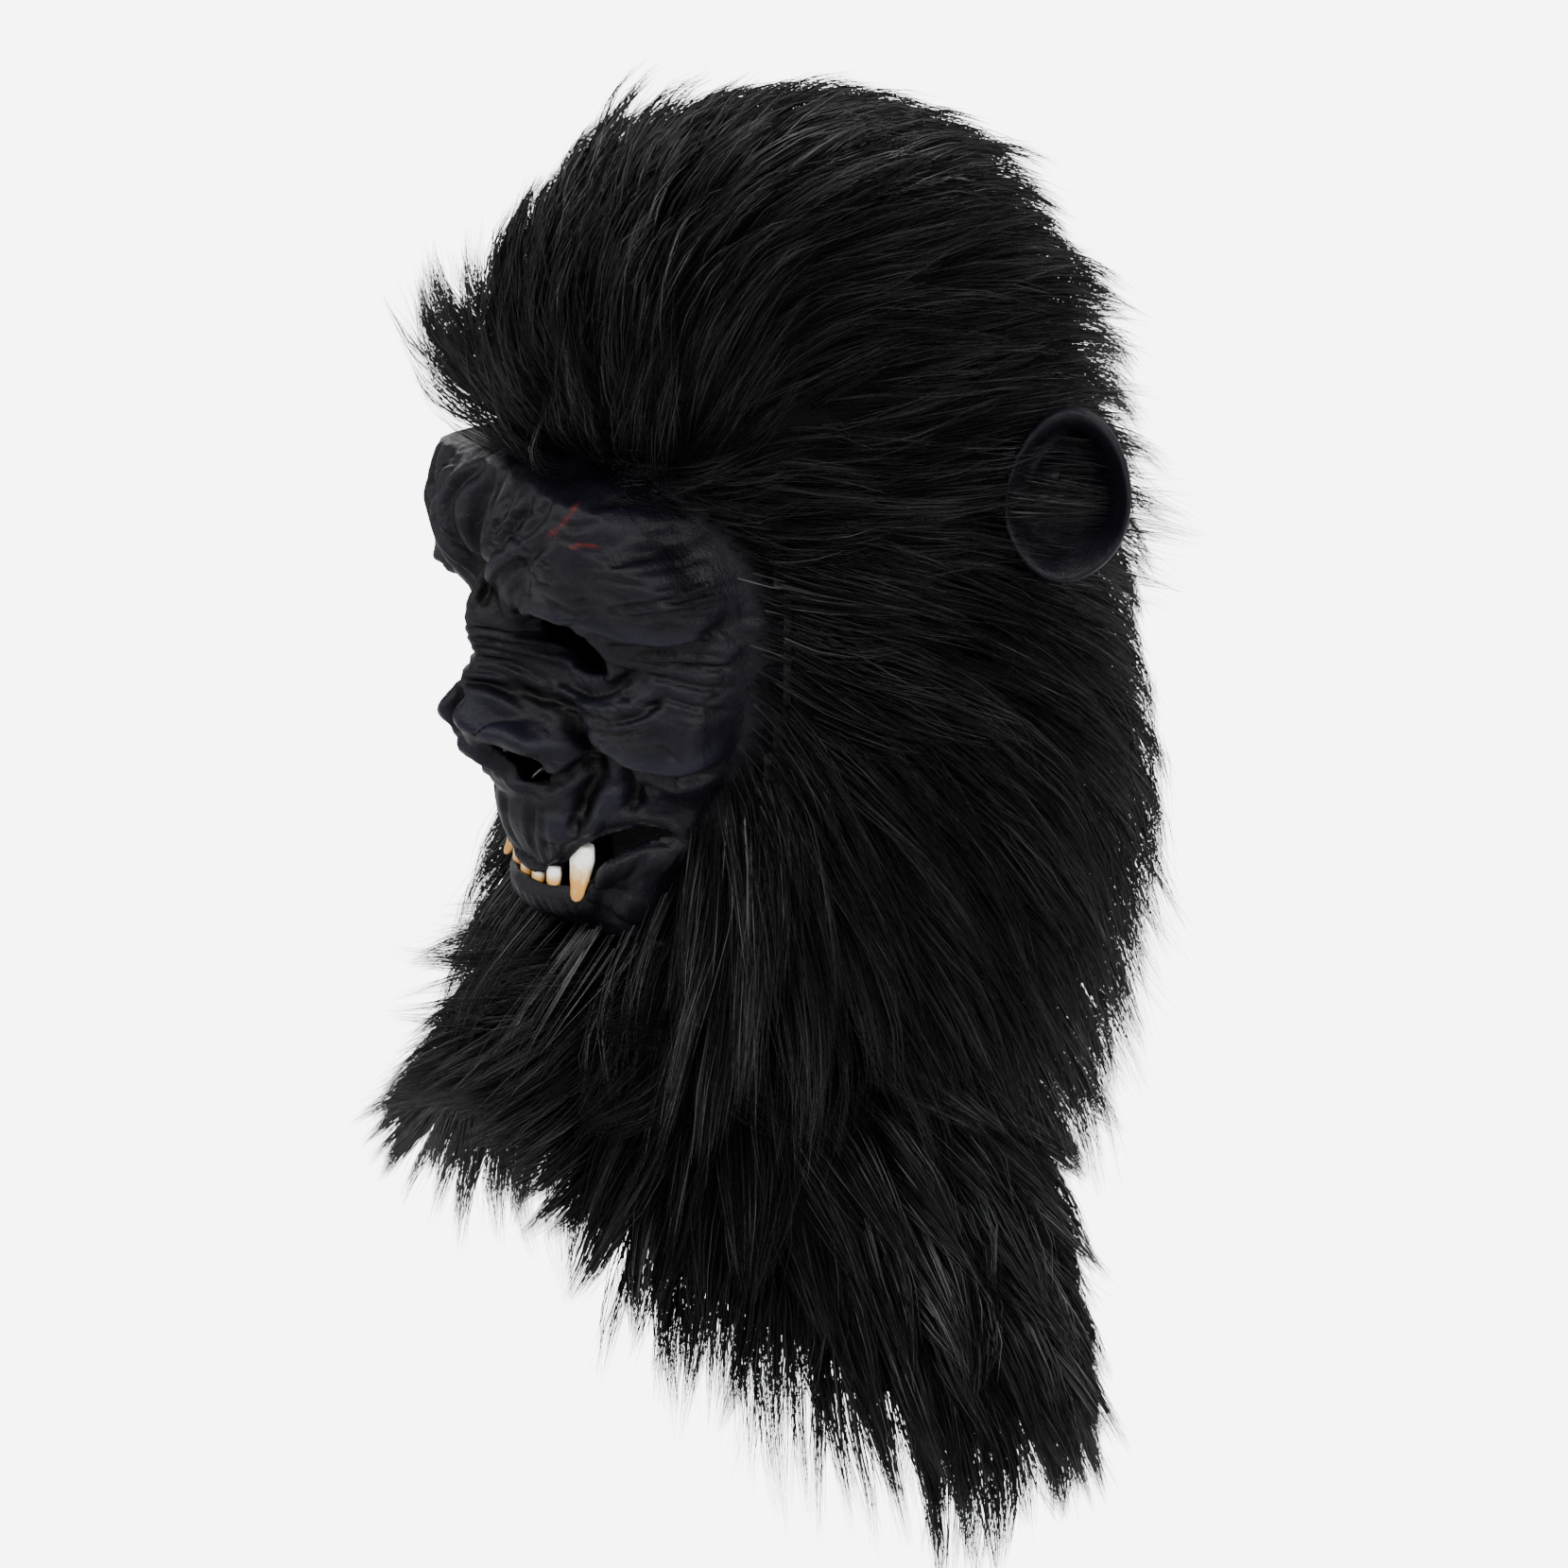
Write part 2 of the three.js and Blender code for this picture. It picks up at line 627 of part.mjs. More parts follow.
// A lock of fur: a three-sided spear that leaves the underfur the way the fur lies and lifts to its tip.
function lock(root, normal, way, length, width, rise) {
  const flow = way.clone().addScaledVector(normal, -way.dot(normal)).normalize();
  const side = flow.clone().cross(normal).normalize();
  const stations = [
    { far: -0.1, wide: 0.8, lift: -0.45, thick: 0.3 },
    { far: 0.55, wide: 0.8, lift: 0.05, thick: 0.55 },
  ];
  const points = [];
  const rings = stations.map(({ far, wide, lift, thick }) => {
    const middle = root.clone().addScaledVector(flow, far * length).addScaledVector(normal, lift * rise);
    return [
      middle.clone().addScaledVector(side, (-wide * width) / 2),
      middle.clone().addScaledVector(side, (wide * width) / 2),
      middle.clone().addScaledVector(normal, thick * rise),
    ].map((p) => points.push(p) - 1);
  });
  const tip = points.push(root.clone().addScaledVector(flow, length).addScaledVector(normal, rise)) - 1;
  const faces = [...rings[0]];
  rings.slice(1).forEach((ring, i) => {
    const from = rings[i];
    for (let k = 0; k < 3; k += 1) {
      const m = (k + 1) % 3;
      faces.push(from[k], ring[m], from[m], from[k], ring[k], ring[m]);
    }
  });
  const end = rings[rings.length - 1];
  for (let k = 0; k < 3; k += 1) faces.push(end[k], tip, end[(k + 1) % 3]);
  return solidFrom(points, faces);
}

// The way the fur lies: up and back from the forehead, level past the ears, and down over cheek and neck.
function furFlow(p) {
  const down = -p.z / jawDrop;
  const back = p.y / headBack;
  const fall = smooth((down - 0.28) / 0.62);
  const behind = smooth((back - 0.1) / 0.9);
  const upward = mix(0.55, -0.9, Math.max(fall, behind));
  return new THREE.Vector3(0, mix(1, 0.12, Math.max(fall, 0)), upward - 1.4 * fall);
}

// A hash for small differences between locks, the same on every run.
const uneven = (k) => {
  const s = Math.sin(k * 127.1 + 11.7) * 43758.5453;
  return s - Math.floor(s) - 0.5;
};

// These make the locks of one row unlike those of the next, and unlike their neighbours.
const rowSeed = 97;
const turnSeed = 50;
function furLocks(surface, base, shares, over, size, keep) {
  const girths = girthOf(surface);
  const made = [];
  shares.forEach((share, i) => {
    const count = Math.max(5, 2 * Math.round(girths(share) / lockSpacing / 2));
    for (let j = 0; j < count; j += 1) {
      const turn = ((j + (i % 2) / 2) / count) * 2 * Math.PI;
      const root = surface(turn, share, over(turn, share));
      const normal = offset(base, turn, share, 1).sub(base(turn, share));
      if (!keep(turn, -root.z, root)) continue;
      const k = i * rowSeed + Math.round(around(turn) * turnSeed);
      const way = size.way(root, turn);
      const length = size.length * (1 + 0.25 * uneven(k));
      const width = lockWidth * (1 + 0.2 * uneven(k + 1));
      const rise = size.rise * (1 + 0.4 * uneven(k + 2));
      made.push(lock(root, normal, way, length, width, rise));
    }
  });
  return made;
}

const hoodColumns = 24;
const bibColumns = 24;
const hoodShares = steps(9);
const bibShares = steps(4);
const girthOf = (surface) => (share) => {
  const points = steps(24, 0, 2 * Math.PI).map((turn) => surface(turn, share, 0));
  return points.slice(1).reduce((sum, p, i) => sum + p.distanceTo(points[i]), 0);
};

// The underfur's thickness on the hood, as a share of pileMass. down is a share of jawDrop.
const pileRows = [
  { down: 0, pile: 0.75 },
  { down: 0.2, pile: 1.1 },
  { down: 0.36, pile: 1.2 },
  { down: 0.5, pile: 1.2 },
  { down: 0.7, pile: 1.9 },
  { down: 0.82, pile: 2.2 },
  { down: 0.96, pile: 2.0 },
  { down: 1.17, pile: 1.0 },
];
const sidePile = 0.75; // the share of it that is left over the ears
const edgePile = 0.5; // the share of it that is left beside the face
const edgePileReach = 28;
const browTurn = 22 * DEGREE; // half of the hairline over the brow, where the pile stays full
function pileAt(turn, drop) {
  const sideways = mix(sidePile, 1, Math.cos(turn) ** 2);
  const past = smooth(-edgeRoom(turn, drop) / edgePileReach);
  const beside = smooth((around(turn) - browTurn) / browTurn);
  const atEdge = mix(1, mix(edgePile, 1, past), beside);
  return pileMass * along(pileRows, "down", "pile", drop / jawDrop) * sideways * atEdge;
}

function hoodCloth(opening) {
  return ringSolid(
    (turn, share) => hood(turn, share, clothWall),
    (turn, share) => hood(turn, share, 0),
    hoodShares,
    hoodColumns,
    true,
  ).subtract(opening);
}
function hoodFur(opening, earRoom) {
  const inner = clothWall + fitGap;
  const pileOf = (turn, share) => pileAt(turn, -hoodSurface(turn, share).z);
  let fur = ringSolid(
    (turn, share) => hood(turn, share, inner + pileOf(turn, share)),
    (turn, share) => hood(turn, share, inner),
    hoodShares,
    hoodColumns,
    true,
  ).subtract(opening);
  const size = { length: lockLength, rise: lockRise, way: furFlow };
  const earSeat = mirrored((side) => hood(side * earTurnRad, earShare, inner + earStandoff * 0.5));
  const keep = (turn, drop, root) => {
    const clearOfFace = drop < openingTop - 6 || around(turn) > openingTurn(drop) + 5 * DEGREE;
    return clearOfFace && earSeat.every((seat) => seat.distanceTo(root) > earHeight * 0.72);
  };
  const rows = [0.13, 0.27, 0.41, 0.54, 0.66, 0.78, 0.9];
  const over = (turn, share) => inner + pileOf(turn, share) * 0.85;
  const locks = furLocks(hood, hoodSurface, rows, over, size, keep);
  fur = wasm.Manifold.union([fur, ...locks]);
  return fur.subtract(wasm.Manifold.union([headEnvelope, bibEnvelope, earRoom]));
}
function bibCloth() {
  return ringSolid(
    (turn, share) => bib(turn, share, clothWall),
    (turn, share) => bib(turn, share, 0),
    bibShares,
    bibColumns,
    false,
  );
}
const bibThickness = (share) => bibPileMass * (0.35 + 0.65 * smooth(share / 0.3));
function bibFur() {
  const inner = clothWall + fitGap;
  const fur = ringSolid(
    (turn, share) => bib(turn, share, inner + bibThickness(share)),
    (turn, share) => bib(turn, share, inner),
    bibShares,
    bibColumns,
    false,
  );
  const way = (root, turn) => new THREE.Vector3(Math.sin(turn) * 0.3, -Math.cos(turn) * 0.3, -1);
  const size = { length: bibLockLength, rise: bibLockRise, way };
  const over = () => inner + bibPileMass * 0.8;
  const locks = furLocks(bib, bibSurface, [0.42, 0.66, 0.9], over, size, () => true);
  return wasm.Manifold.union([fur, ...locks]).subtract(chestEnvelope);
}

const latex = new THREE.MeshStandardMaterial({ color: 0x24252a, roughness: 0.5, metalness: 0 });
const furBlack = new THREE.MeshStandardMaterial({ color: 0x0a0a0b, roughness: 0.8, metalness: 0 });
const cloth = new THREE.MeshStandardMaterial({ color: 0x141416, roughness: 0.95, metalness: 0 });
const enamel = new THREE.MeshStandardMaterial({ color: 0xe3d9bd, roughness: 0.35, metalness: 0 });

const mask = new THREE.Group();

const opening = faceOpening();
// What the fur must stay clear of
const overCloth = clothWall + fitGap;
const headEnvelope = ringSolid(
  (turn, share) => hood(turn, share, overCloth),
  null,
  hoodShares,
  hoodColumns,
  true,
);
const chestEnvelope = ringSolid(
  (turn, share) => bib(turn, share, overCloth),
  null,
  bibShares,
  bibColumns,
  false,
);
const bibEnvelope = ringSolid(
  (turn, share) => bib(turn, share, overCloth + 3 * fitGap + bibThickness(share)),
  null,
  [-0.006, ...bibShares],
  bibColumns,
  false,
);
let face = latexFace();
for (const hole of faceHoles()) face = face.subtract(hole);
for (const { x, length, width } of teeth) face = face.subtract(tooth(x, length, width, fitGap));
mask.add(meshOf("latex_face", face, latex));
for (const { name, x, length, width } of teeth) mask.add(meshOf(name, tooth(x, length, width, 0), enamel));

mirrored((side) => {
  const made = ear(side, 0).subtract(headEnvelope);
  mask.add(meshOf(side > 0 ? "ear_left" : "ear_right", made, latex));
});
const earRoom = ear(-1, fitGap * 3).add(ear(1, fitGap * 3));

mask.add(meshOf("hood_cloth", hoodCloth(opening), cloth));
mask.add(meshOf("hood_fur", hoodFur(opening, earRoom), furBlack));
mask.add(meshOf("bib_cloth", bibCloth(), cloth));
mask.add(meshOf("bib_fur", bibFur(), furBlack));

export default mask;
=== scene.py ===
import math

import bmesh
import bpy
import numpy as np
from bpy.props import FloatProperty, FloatVectorProperty, IntProperty, PointerProperty
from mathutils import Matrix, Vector, kdtree


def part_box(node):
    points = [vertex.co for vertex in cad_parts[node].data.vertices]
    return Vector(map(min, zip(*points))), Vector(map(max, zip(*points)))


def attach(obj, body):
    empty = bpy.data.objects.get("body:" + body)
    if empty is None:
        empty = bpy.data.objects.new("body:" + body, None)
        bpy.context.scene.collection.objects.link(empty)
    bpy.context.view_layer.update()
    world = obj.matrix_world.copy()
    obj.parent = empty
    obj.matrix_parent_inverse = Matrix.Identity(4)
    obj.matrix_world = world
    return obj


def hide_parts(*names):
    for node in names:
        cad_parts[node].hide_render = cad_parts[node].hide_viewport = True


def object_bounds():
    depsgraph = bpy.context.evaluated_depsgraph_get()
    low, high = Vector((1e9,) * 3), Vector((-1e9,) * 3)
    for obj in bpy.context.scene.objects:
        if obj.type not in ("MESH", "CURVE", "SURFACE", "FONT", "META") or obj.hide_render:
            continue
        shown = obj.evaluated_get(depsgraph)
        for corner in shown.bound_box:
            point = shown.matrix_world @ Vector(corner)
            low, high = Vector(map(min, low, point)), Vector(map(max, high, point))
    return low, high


bl_info = {
    "name": "Gorilla mask",
    "version": (1, 0, 0),
    "blender": (4, 5, 0),
    "location": "3D View > Sidebar > Gorilla mask",
    "description": "Dresses a gorilla mask: latex face and ears, painted teeth, fur cloth hood and bib",
    "category": "Object",
}

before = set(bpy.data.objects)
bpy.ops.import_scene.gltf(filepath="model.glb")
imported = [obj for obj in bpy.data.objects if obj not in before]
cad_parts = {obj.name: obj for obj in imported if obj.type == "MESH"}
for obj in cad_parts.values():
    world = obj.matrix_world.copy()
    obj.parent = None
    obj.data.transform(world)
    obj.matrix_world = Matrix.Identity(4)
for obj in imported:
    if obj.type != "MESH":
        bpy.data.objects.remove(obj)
CAD_BOX = [list(corner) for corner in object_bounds()]
MM = 0.001
DEGREE = math.pi / 180

# The hood's shape, as the solids have it, in millimetres. The face looks along -Y and drop is measured down
# from the inside top of the crown.
HEAD_HALF_WIDTH = 88.0
HEAD_FRONT = 98.0
HEAD_BACK = 105.0
DOME_HEIGHT = 125.0
JAW_DROP = 296.0
NAPE_DROP = 345.0
DOME_POWER = 2.2
HEAD_POWER = 2.25
HEM_POWER = 2.6
HEM = (132.0, 106.0, 84.0)
HEM_DROP = (356.0, 462.0, 478.0)
CLOTH = 2.0
GAP = 0.3
LATEX = 2.4
BIB_PILE = 8.0

# down is a share of JAW_DROP, the other columns are shares of the head's own sizes.
HEAD_ROWS = {
    "down": (0.42, 0.57, 0.71, 0.84, 0.98, 1.17),
    "width": (1.0, 0.99, 0.94, 0.88, 0.83, 0.83),
    "front": (1.0, 0.97, 0.9, 0.8, 0.72, 0.72),
    "back": (1.0, 0.99, 0.95, 0.91, 0.82, 0.76),
}
OPENING_ROWS = {
    "down": (0.325, 0.352, 0.42, 0.53, 0.66, 0.8, 0.92, 1.0),
    "turn": (30.0, 46.0, 58.0, 62.0, 60.0, 51.0, 44.0, 40.0),
}
OPENING_TOP = OPENING_ROWS["down"][0] * JAW_DROP
PILE_ROWS = {
    "down": (-0.2, 0.0, 0.2, 0.36, 0.5, 0.7, 0.82, 0.96, 1.17),
    "pile": (0.75, 0.75, 1.1, 1.2, 1.2, 1.9, 2.2, 2.0, 1.0),
}


def smooth(t):
    t = np.clip(t, 0, 1)
    return t * t * (3 - 2 * t)


def mix(a, b, t):
    return a + (b - a) * t


def bell(x, middle, width):
    """A bell curve, 1 at the middle and near 0 from two widths away."""
    return np.exp(-(((x - middle) / width) ** 2))


def along(rows, key, column, at):
    """A smooth curve through one column of a table whose key column rises."""
    keys, values = np.array(rows[key], float), np.array(rows[column], float)
    slope = np.empty_like(values)
    slope[0] = (values[1] - values[0]) / (keys[1] - keys[0])
    slope[1:-1] = (values[2:] - values[:-2]) / (keys[2:] - keys[:-2])
    slope[-1] = (values[-1] - values[-2]) / (keys[-1] - keys[-2])
    at = np.asarray(at, float)
    i = np.clip(np.searchsorted(keys, at, side="right") - 1, 0, len(keys) - 2)
    span = keys[i + 1] - keys[i]
    t = np.clip((at - keys[i]) / span, 0, 1)
    t2, t3 = t * t, t * t * t
    return (
        (2 * t3 - 3 * t2 + 1) * values[i]
        + (t3 - 2 * t2 + t) * span * slope[i]
        + (3 * t2 - 2 * t3) * values[i + 1]
        + (t3 - t2) * span * slope[i + 1]
    )


def unit(v):
    return v / np.maximum(np.linalg.norm(v, axis=-1, keepdims=True), 1e-12)


def polar(turn, radius, drop):
    return np.stack([radius * np.sin(turn), -radius * np.cos(turn), -drop + 0 * radius], axis=-1)


def reach(turn, section, power):
    width, front, back = section
    depth = np.where(np.cos(turn) > 0, front, back)
    side = np.abs(np.sin(turn) / width) ** power
    fore = np.abs(np.cos(turn) / depth) ** power
    return (side + fore) ** (-1 / power)


def head_section(drop):
    """Half width, front and back of the hood's inside at each level below the crown."""
    up = np.clip(1 - drop / DOME_HEIGHT, 0, 1)
    k = np.maximum((1 - up**DOME_POWER) ** (1 / DOME_POWER), 1e-4)
    down = np.maximum(HEAD_ROWS["down"][0] + (drop - DOME_HEIGHT) / JAW_DROP, HEAD_ROWS["down"][0])
    return tuple(
        size * k * along(HEAD_ROWS, "down", column, down)
        for size, column in ((HEAD_HALF_WIDTH, "width"), (HEAD_FRONT, "front"), (HEAD_BACK, "back"))
    )


def around(turn):
    return np.abs(np.arctan2(np.sin(turn), np.cos(turn)))


def seam_drop(turn):
    return mix(JAW_DROP, NAPE_DROP, (1 - np.cos(turn)) / 2)


def hem_drop(turn):
    front, side, back = HEM_DROP
    angle = around(turn)
    quarter = math.pi / 2
    forward = mix(front, side, np.clip(angle / quarter, 0, 1) ** 1.6)
    rear = mix(side, back, np.sin(np.clip(angle - quarter, 0, quarter)))
    return np.where(angle < quarter, forward, rear)


def hood_point(turn, share):
    """The hood's inside: share is 0 at the crown, 0.5 at the widest level and 1 at the neck seam."""
    rise = np.clip(share / 0.5, 0, 1) * (math.pi / 2)
    dome = DOME_HEIGHT * (1 - np.cos(rise))
    wall = mix(DOME_HEIGHT, seam_drop(turn), np.clip((share - 0.5) / 0.5, 0, 2))
    drop = np.where(share < 0.5, dome, wall)
    return polar(turn, reach(turn, head_section(drop), HEAD_POWER), drop)


def bib_radius(turn, share):
    top = seam_drop(turn) + GAP
    neck = reach(turn, head_section(top), HEAD_POWER)
    hem = reach(turn, HEM, HEM_POWER)
    flare = np.sin((math.pi / 2) * np.clip(share, 0, 1)) * 0.45 + share * 0.55
    return mix(neck, hem, flare)


def bib_point(turn, share):
    top = seam_drop(turn) + GAP
    return polar(turn, bib_radius(turn, share), mix(top, hem_drop(turn), share))


def hood_field(p):
    """Above 0 outside the hood's inside, below 0 within, and about 1 for each head radius."""
    turn = np.arctan2(p[..., 0], -p[..., 1])
    drop = -p[..., 2]
    radius = np.hypot(p[..., 0], p[..., 1])
    widest = reach(turn, (HEAD_HALF_WIDTH, HEAD_FRONT, HEAD_BACK), HEAD_POWER)
    up = np.maximum(1 - drop / DOME_HEIGHT, 0)
    dome = ((radius / widest) ** DOME_POWER + up**DOME_POWER) ** (1 / DOME_POWER)
    wall = radius / reach(turn, head_section(np.maximum(drop, DOME_HEIGHT)), HEAD_POWER)
    return np.where(drop < DOME_HEIGHT, dome, wall) - 1


def bib_field(p):
    turn = np.arctan2(p[..., 0], -p[..., 1])
    top = seam_drop(turn) + GAP
    share = (-p[..., 2] - top) / (hem_drop(turn) - top)
    return np.hypot(p[..., 0], p[..., 1]) / bib_radius(turn, np.clip(share, 0, 1.4)) - 1


def field_normal(field, p, step=1.0):
    grads = []
    for axis in range(3):
        d = np.zeros(3)
        d[axis] = step
        grads.append(field(p + d) - field(p - d))
    return unit(np.stack(grads, axis=-1))


def opening_turn(drop):
    return along(OPENING_ROWS, "down", "turn", np.maximum(drop, OPENING_TOP) / JAW_DROP) * DEGREE


def opening_edge():
    """The opening's edge from the forehead's middle to the chin: points (mm round the head, drop)."""
    drops = np.linspace(OPENING_TOP, JAW_DROP, 24)
    top = opening_turn(OPENING_TOP)
    turns = np.concatenate([[0, top / 2], opening_turn(drops), [opening_turn(JAW_DROP)]])
    drops = np.concatenate([[OPENING_TOP - 3, OPENING_TOP - 3], drops, [NAPE_DROP + 9]])
    return np.stack([turns * HEAD_HALF_WIDTH, drops], axis=-1)


def path_distance(s, d, path):
    """Distance from each place (s, d) to a path, and how far along it the nearest point is, 0 to 1."""
    best = np.full(s.shape, 1e9)
    where = np.zeros(s.shape)
    lengths = np.hypot(*np.diff(path, axis=0).T)
    total, run = lengths.sum(), 0.0
    for a, b, length in zip(path[:-1], path[1:], lengths):
        if length < 1e-9:
            continue
        t = np.clip(((s - a[0]) * (b[0] - a[0]) + (d - a[1]) * (b[1] - a[1])) / length**2, 0, 1)
        far = np.hypot(s - a[0] - t * (b[0] - a[0]), d - a[1] - t * (b[1] - a[1]))
        nearer = far < best
        best = np.where(nearer, far, best)
        where = np.where(nearer, (run + t * length) / total, where)
        run += length
    return best, where


def edge_room(turn, drop):
    """How far inside the face opening a place lies, below 0 outside."""
    far, _ = path_distance(around(turn) * HEAD_HALF_WIDTH, drop, opening_edge())
    within = (drop > OPENING_TOP - 3) & (around(turn) < opening_turn(drop))
    return np.where(within, far, -far)


def pile_at(turn, drop, pile_mass):
    """The underfur's thickness on the hood, as the solids have it."""
    sideways = mix(0.75, 1.0, np.cos(turn) ** 2)
    past = smooth(-edge_room(turn, drop) / 28)
    beside = smooth((around(turn) - 22 * DEGREE) / (22 * DEGREE))
    at_edge = mix(1.0, mix(0.5, 1.0, past), beside)
    return pile_mass * along(PILE_ROWS, "down", "pile", drop / JAW_DROP) * sideways * at_edge


def below_brow(drop):
    """0 over the forehead, rising to 1 at the cheeks."""
    return smooth((drop - 105) / 50)


def bib_pile(share):
    """The underfur's thickness on the bib, as the solids have it."""
    return BIB_PILE * (0.35 + 0.65 * smooth(share / 0.3))


# Noise that is the same on every run: value noise on a lattice, summed over octaves.
def _lattice(i, j, k, seed):
    h = np.sin(i * 127.1 + j * 311.7 + k * 74.7 + seed * 53.3) * 43758.5453
    return h - np.floor(h)


def value_noise(x, y, z, seed=0):
    i, j, k = np.floor(x), np.floor(y), np.floor(z)
    u, v, w = smooth(x - i), smooth(y - j), smooth(z - k)
    total = 0.0
    for a in (0, 1):
        for b in (0, 1):
            for c in (0, 1):
                weight = (u if a else 1 - u) * (v if b else 1 - v) * (w if c else 1 - w)
                total = total + weight * _lattice(i + a, j + b, k + c, seed)
    return total * 2 - 1


def noise(p, size, octaves=3, seed=0):
    total, gain = 0.0, 1.0
    for octave in range(octaves):
        q = p / size * 2**octave
        total = total + gain * value_noise(q[..., 0], q[..., 1], q[..., 2], seed + octave)
        gain *= 0.5
    return total


# Meshes


def mesh_object(name, points, faces, material, floats=None):
    """A mesh object at the origin from points in millimetres and lists or arrays of faces."""
    mesh = bpy.data.meshes.new(name)
    points = np.asarray(points, float) * MM
    mesh.vertices.add(len(points))
    mesh.vertices.foreach_set("co", points.astype(np.float32).ravel())
    arrays = [np.asarray(f, np.int32) for f in (faces if isinstance(faces, list) else [faces]) if len(f)]
    loops = np.concatenate([f.ravel() for f in arrays])
    counts = np.concatenate([np.full(len(f), f.shape[1], np.int32) for f in arrays])
    starts = np.concatenate([[0], np.cumsum(counts)[:-1]]).astype(np.int32)
    mesh.loops.add(len(loops))
    mesh.loops.foreach_set("vertex_index", loops)
    mesh.polygons.add(len(counts))
    mesh.polygons.foreach_set("loop_start", starts)
    mesh.polygons.foreach_set("loop_total", counts)
    mesh.polygons.foreach_set("use_smooth", np.full(len(counts), True))
    mesh.update(calc_edges=True)
    mesh.validate()
    for attribute, values in (floats or {}).items():
        mesh.attributes.new(attribute, "FLOAT", "POINT").data.foreach_set(
            "value", np.asarray(values, np.float32).ravel()
        )
    obj = bpy.data.objects.new(name, mesh)
    bpy.context.scene.collection.objects.link(obj)
    mesh.materials.append(material)
    return obj


def grid_faces(rows, columns, closed=False):
    """Quads of a grid of points numbered row by row, seen from the side where columns run to the right."""
    i, j = np.meshgrid(np.arange(rows - 1), np.arange(columns if closed else columns - 1), indexing="ij")
    k = (j + 1) % columns
    above, below = i * columns, (i + 1) * columns
    return np.stack([above + j, below + j, below + k, above + k], axis=-1)


def grid_normals(p):
    """Outward normals of a grid whose rows run down and whose columns run to the right."""
    across = np.gradient(p, axis=1)
    down = np.gradient(p, axis=0)
    return unit(np.cross(down, across))


def shell(outer, inner, faces):
    """Points and faces of a closed wall between two like grids. faces are the outer one's kept quads."""
    count = len(outer)
    quads = faces.reshape(-1, 4)
    edges = np.concatenate([quads[:, [0, 1]], quads[:, [1, 2]], quads[:, [2, 3]], quads[:, [3, 0]]])
    key = edges[:, 0].astype(np.int64) * (2 * count) + edges[:, 1]
    back = edges[:, 1].astype(np.int64) * (2 * count) + edges[:, 0]
    rim = edges[~np.isin(key, back)]
    walls = np.stack([rim[:, 1], rim[:, 0], rim[:, 0] + count, rim[:, 1] + count], axis=-1)
    points = np.concatenate([outer, inner])
    faces = np.concatenate([quads, quads[:, ::-1] + count, walls])
    used, numbered = np.unique(faces, return_inverse=True)
    return points[used], numbered.reshape(-1, 4), used


def place(obj, slot, *nodes):
    """Rides on the part's one body and stands for these nodes, which it hides. slot is not used."""
    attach(obj, "root")
    if nodes:
        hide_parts(*nodes)


# Materials


def new_material(name, colour, roughness):
    material = bpy.data.materials.new(name)
    material.use_nodes = True
    shader = material.node_tree.nodes["Principled BSDF"]
    shader.inputs["Base Color"].default_value = (*colour, 1)
    shader.inputs["Roughness"].default_value = roughness
    return material, material.node_tree, shader


def add(tree, kind, inputs=None, **settings):
    node = tree.nodes.new(kind)
    for key, value in settings.items():
        setattr(node, key, value)
    for key, value in (inputs or {}).items():
        socket = node.inputs[key]
        if isinstance(value, bpy.types.NodeSocket):
            tree.links.new(value, socket)
        else:
            socket.default_value = value
    return node


def ramp(tree, factor, *stops):
    node = add(tree, "ShaderNodeValToRGB", {"Fac": factor})
    elements = node.color_ramp.elements
    while len(elements) < len(stops):
        elements.new(0.5)
    for element, (position, colour) in zip(elements, stops):
        element.position = position
        element.color = (*colour, 1)
    return node.outputs["Color"]


def latex_material(colour):
    """Charcoal latex with painted shade in the creases and painted highlight on the ridges, with fine pores
    and skin lines.
    """
    material, tree, shader = new_material("charcoal latex", colour, 0.42)
    shader.inputs["Specular IOR Level"].default_value = 0.14
    coords = add(tree, "ShaderNodeTexCoord").outputs["Object"]
    relief_shade = add(tree, "ShaderNodeAttribute", attribute_name="relief_shade").outputs["Fac"]
    scratch = add(tree, "ShaderNodeAttribute", attribute_name="scratch").outputs["Fac"]
    wide_noise = {"Vector": coords, "Scale": 60.0, "Detail": 4.0}
    mottle = add(tree, "ShaderNodeTexNoise", wide_noise).outputs["Fac"]
    # Painted shade and painted highlight: the colour darkens to 0.22 of itself down in the creases and
    # lightens to 2.6 times up on the ridges.
    shade = ramp(
        tree,
        relief_shade,
        (0.0, tuple(c * 0.22 for c in colour)),
        (0.5, colour),
        (1.0, tuple(c * 2.6 for c in colour)),
    )
    patches = ramp(tree, mottle, (0.35, (0.75, 0.75, 0.75)), (0.7, (1.25, 1.22, 1.2)))
    tinted = add(
        tree, "ShaderNodeMix", {0: 1.0, 6: shade, 7: patches}, data_type="RGBA", blend_type="MULTIPLY"
    ).outputs[2]
    painted = add(
        tree, "ShaderNodeMix", {0: scratch, 6: tinted, 7: (0.06, 0.005, 0.004, 1)}, data_type="RGBA"
    ).outputs[2]
    tree.links.new(painted, shader.inputs["Base Color"])
    gloss = ramp(tree, mottle, (0.3, (0.34, 0.34, 0.34)), (0.7, (0.48, 0.48, 0.48)))
    tree.links.new(gloss, shader.inputs["Roughness"])
    cells = {"Vector": coords, "Scale": 620.0}
    pores = add(tree, "ShaderNodeTexVoronoi", cells, feature="DISTANCE_TO_EDGE")
    rough_noise = {"Vector": coords, "Scale": 190.0, "Detail": 6.0, "Roughness": 0.7}
    grain = add(tree, "ShaderNodeTexNoise", rough_noise)
    bump = {"Height": grain.outputs["Fac"], "Strength": 0.5, "Distance": 0.0017}
    first = add(tree, "ShaderNodeBump", bump)
    second = add(
        tree,
        "ShaderNodeBump",
        {
            "Height": pores.outputs["Distance"],
            "Normal": first.outputs["Normal"],
            "Strength": 0.25,
            "Distance": 0.0004,
        },
    )
    tree.links.new(second.outputs["Normal"], shader.inputs["Normal"])
    return material


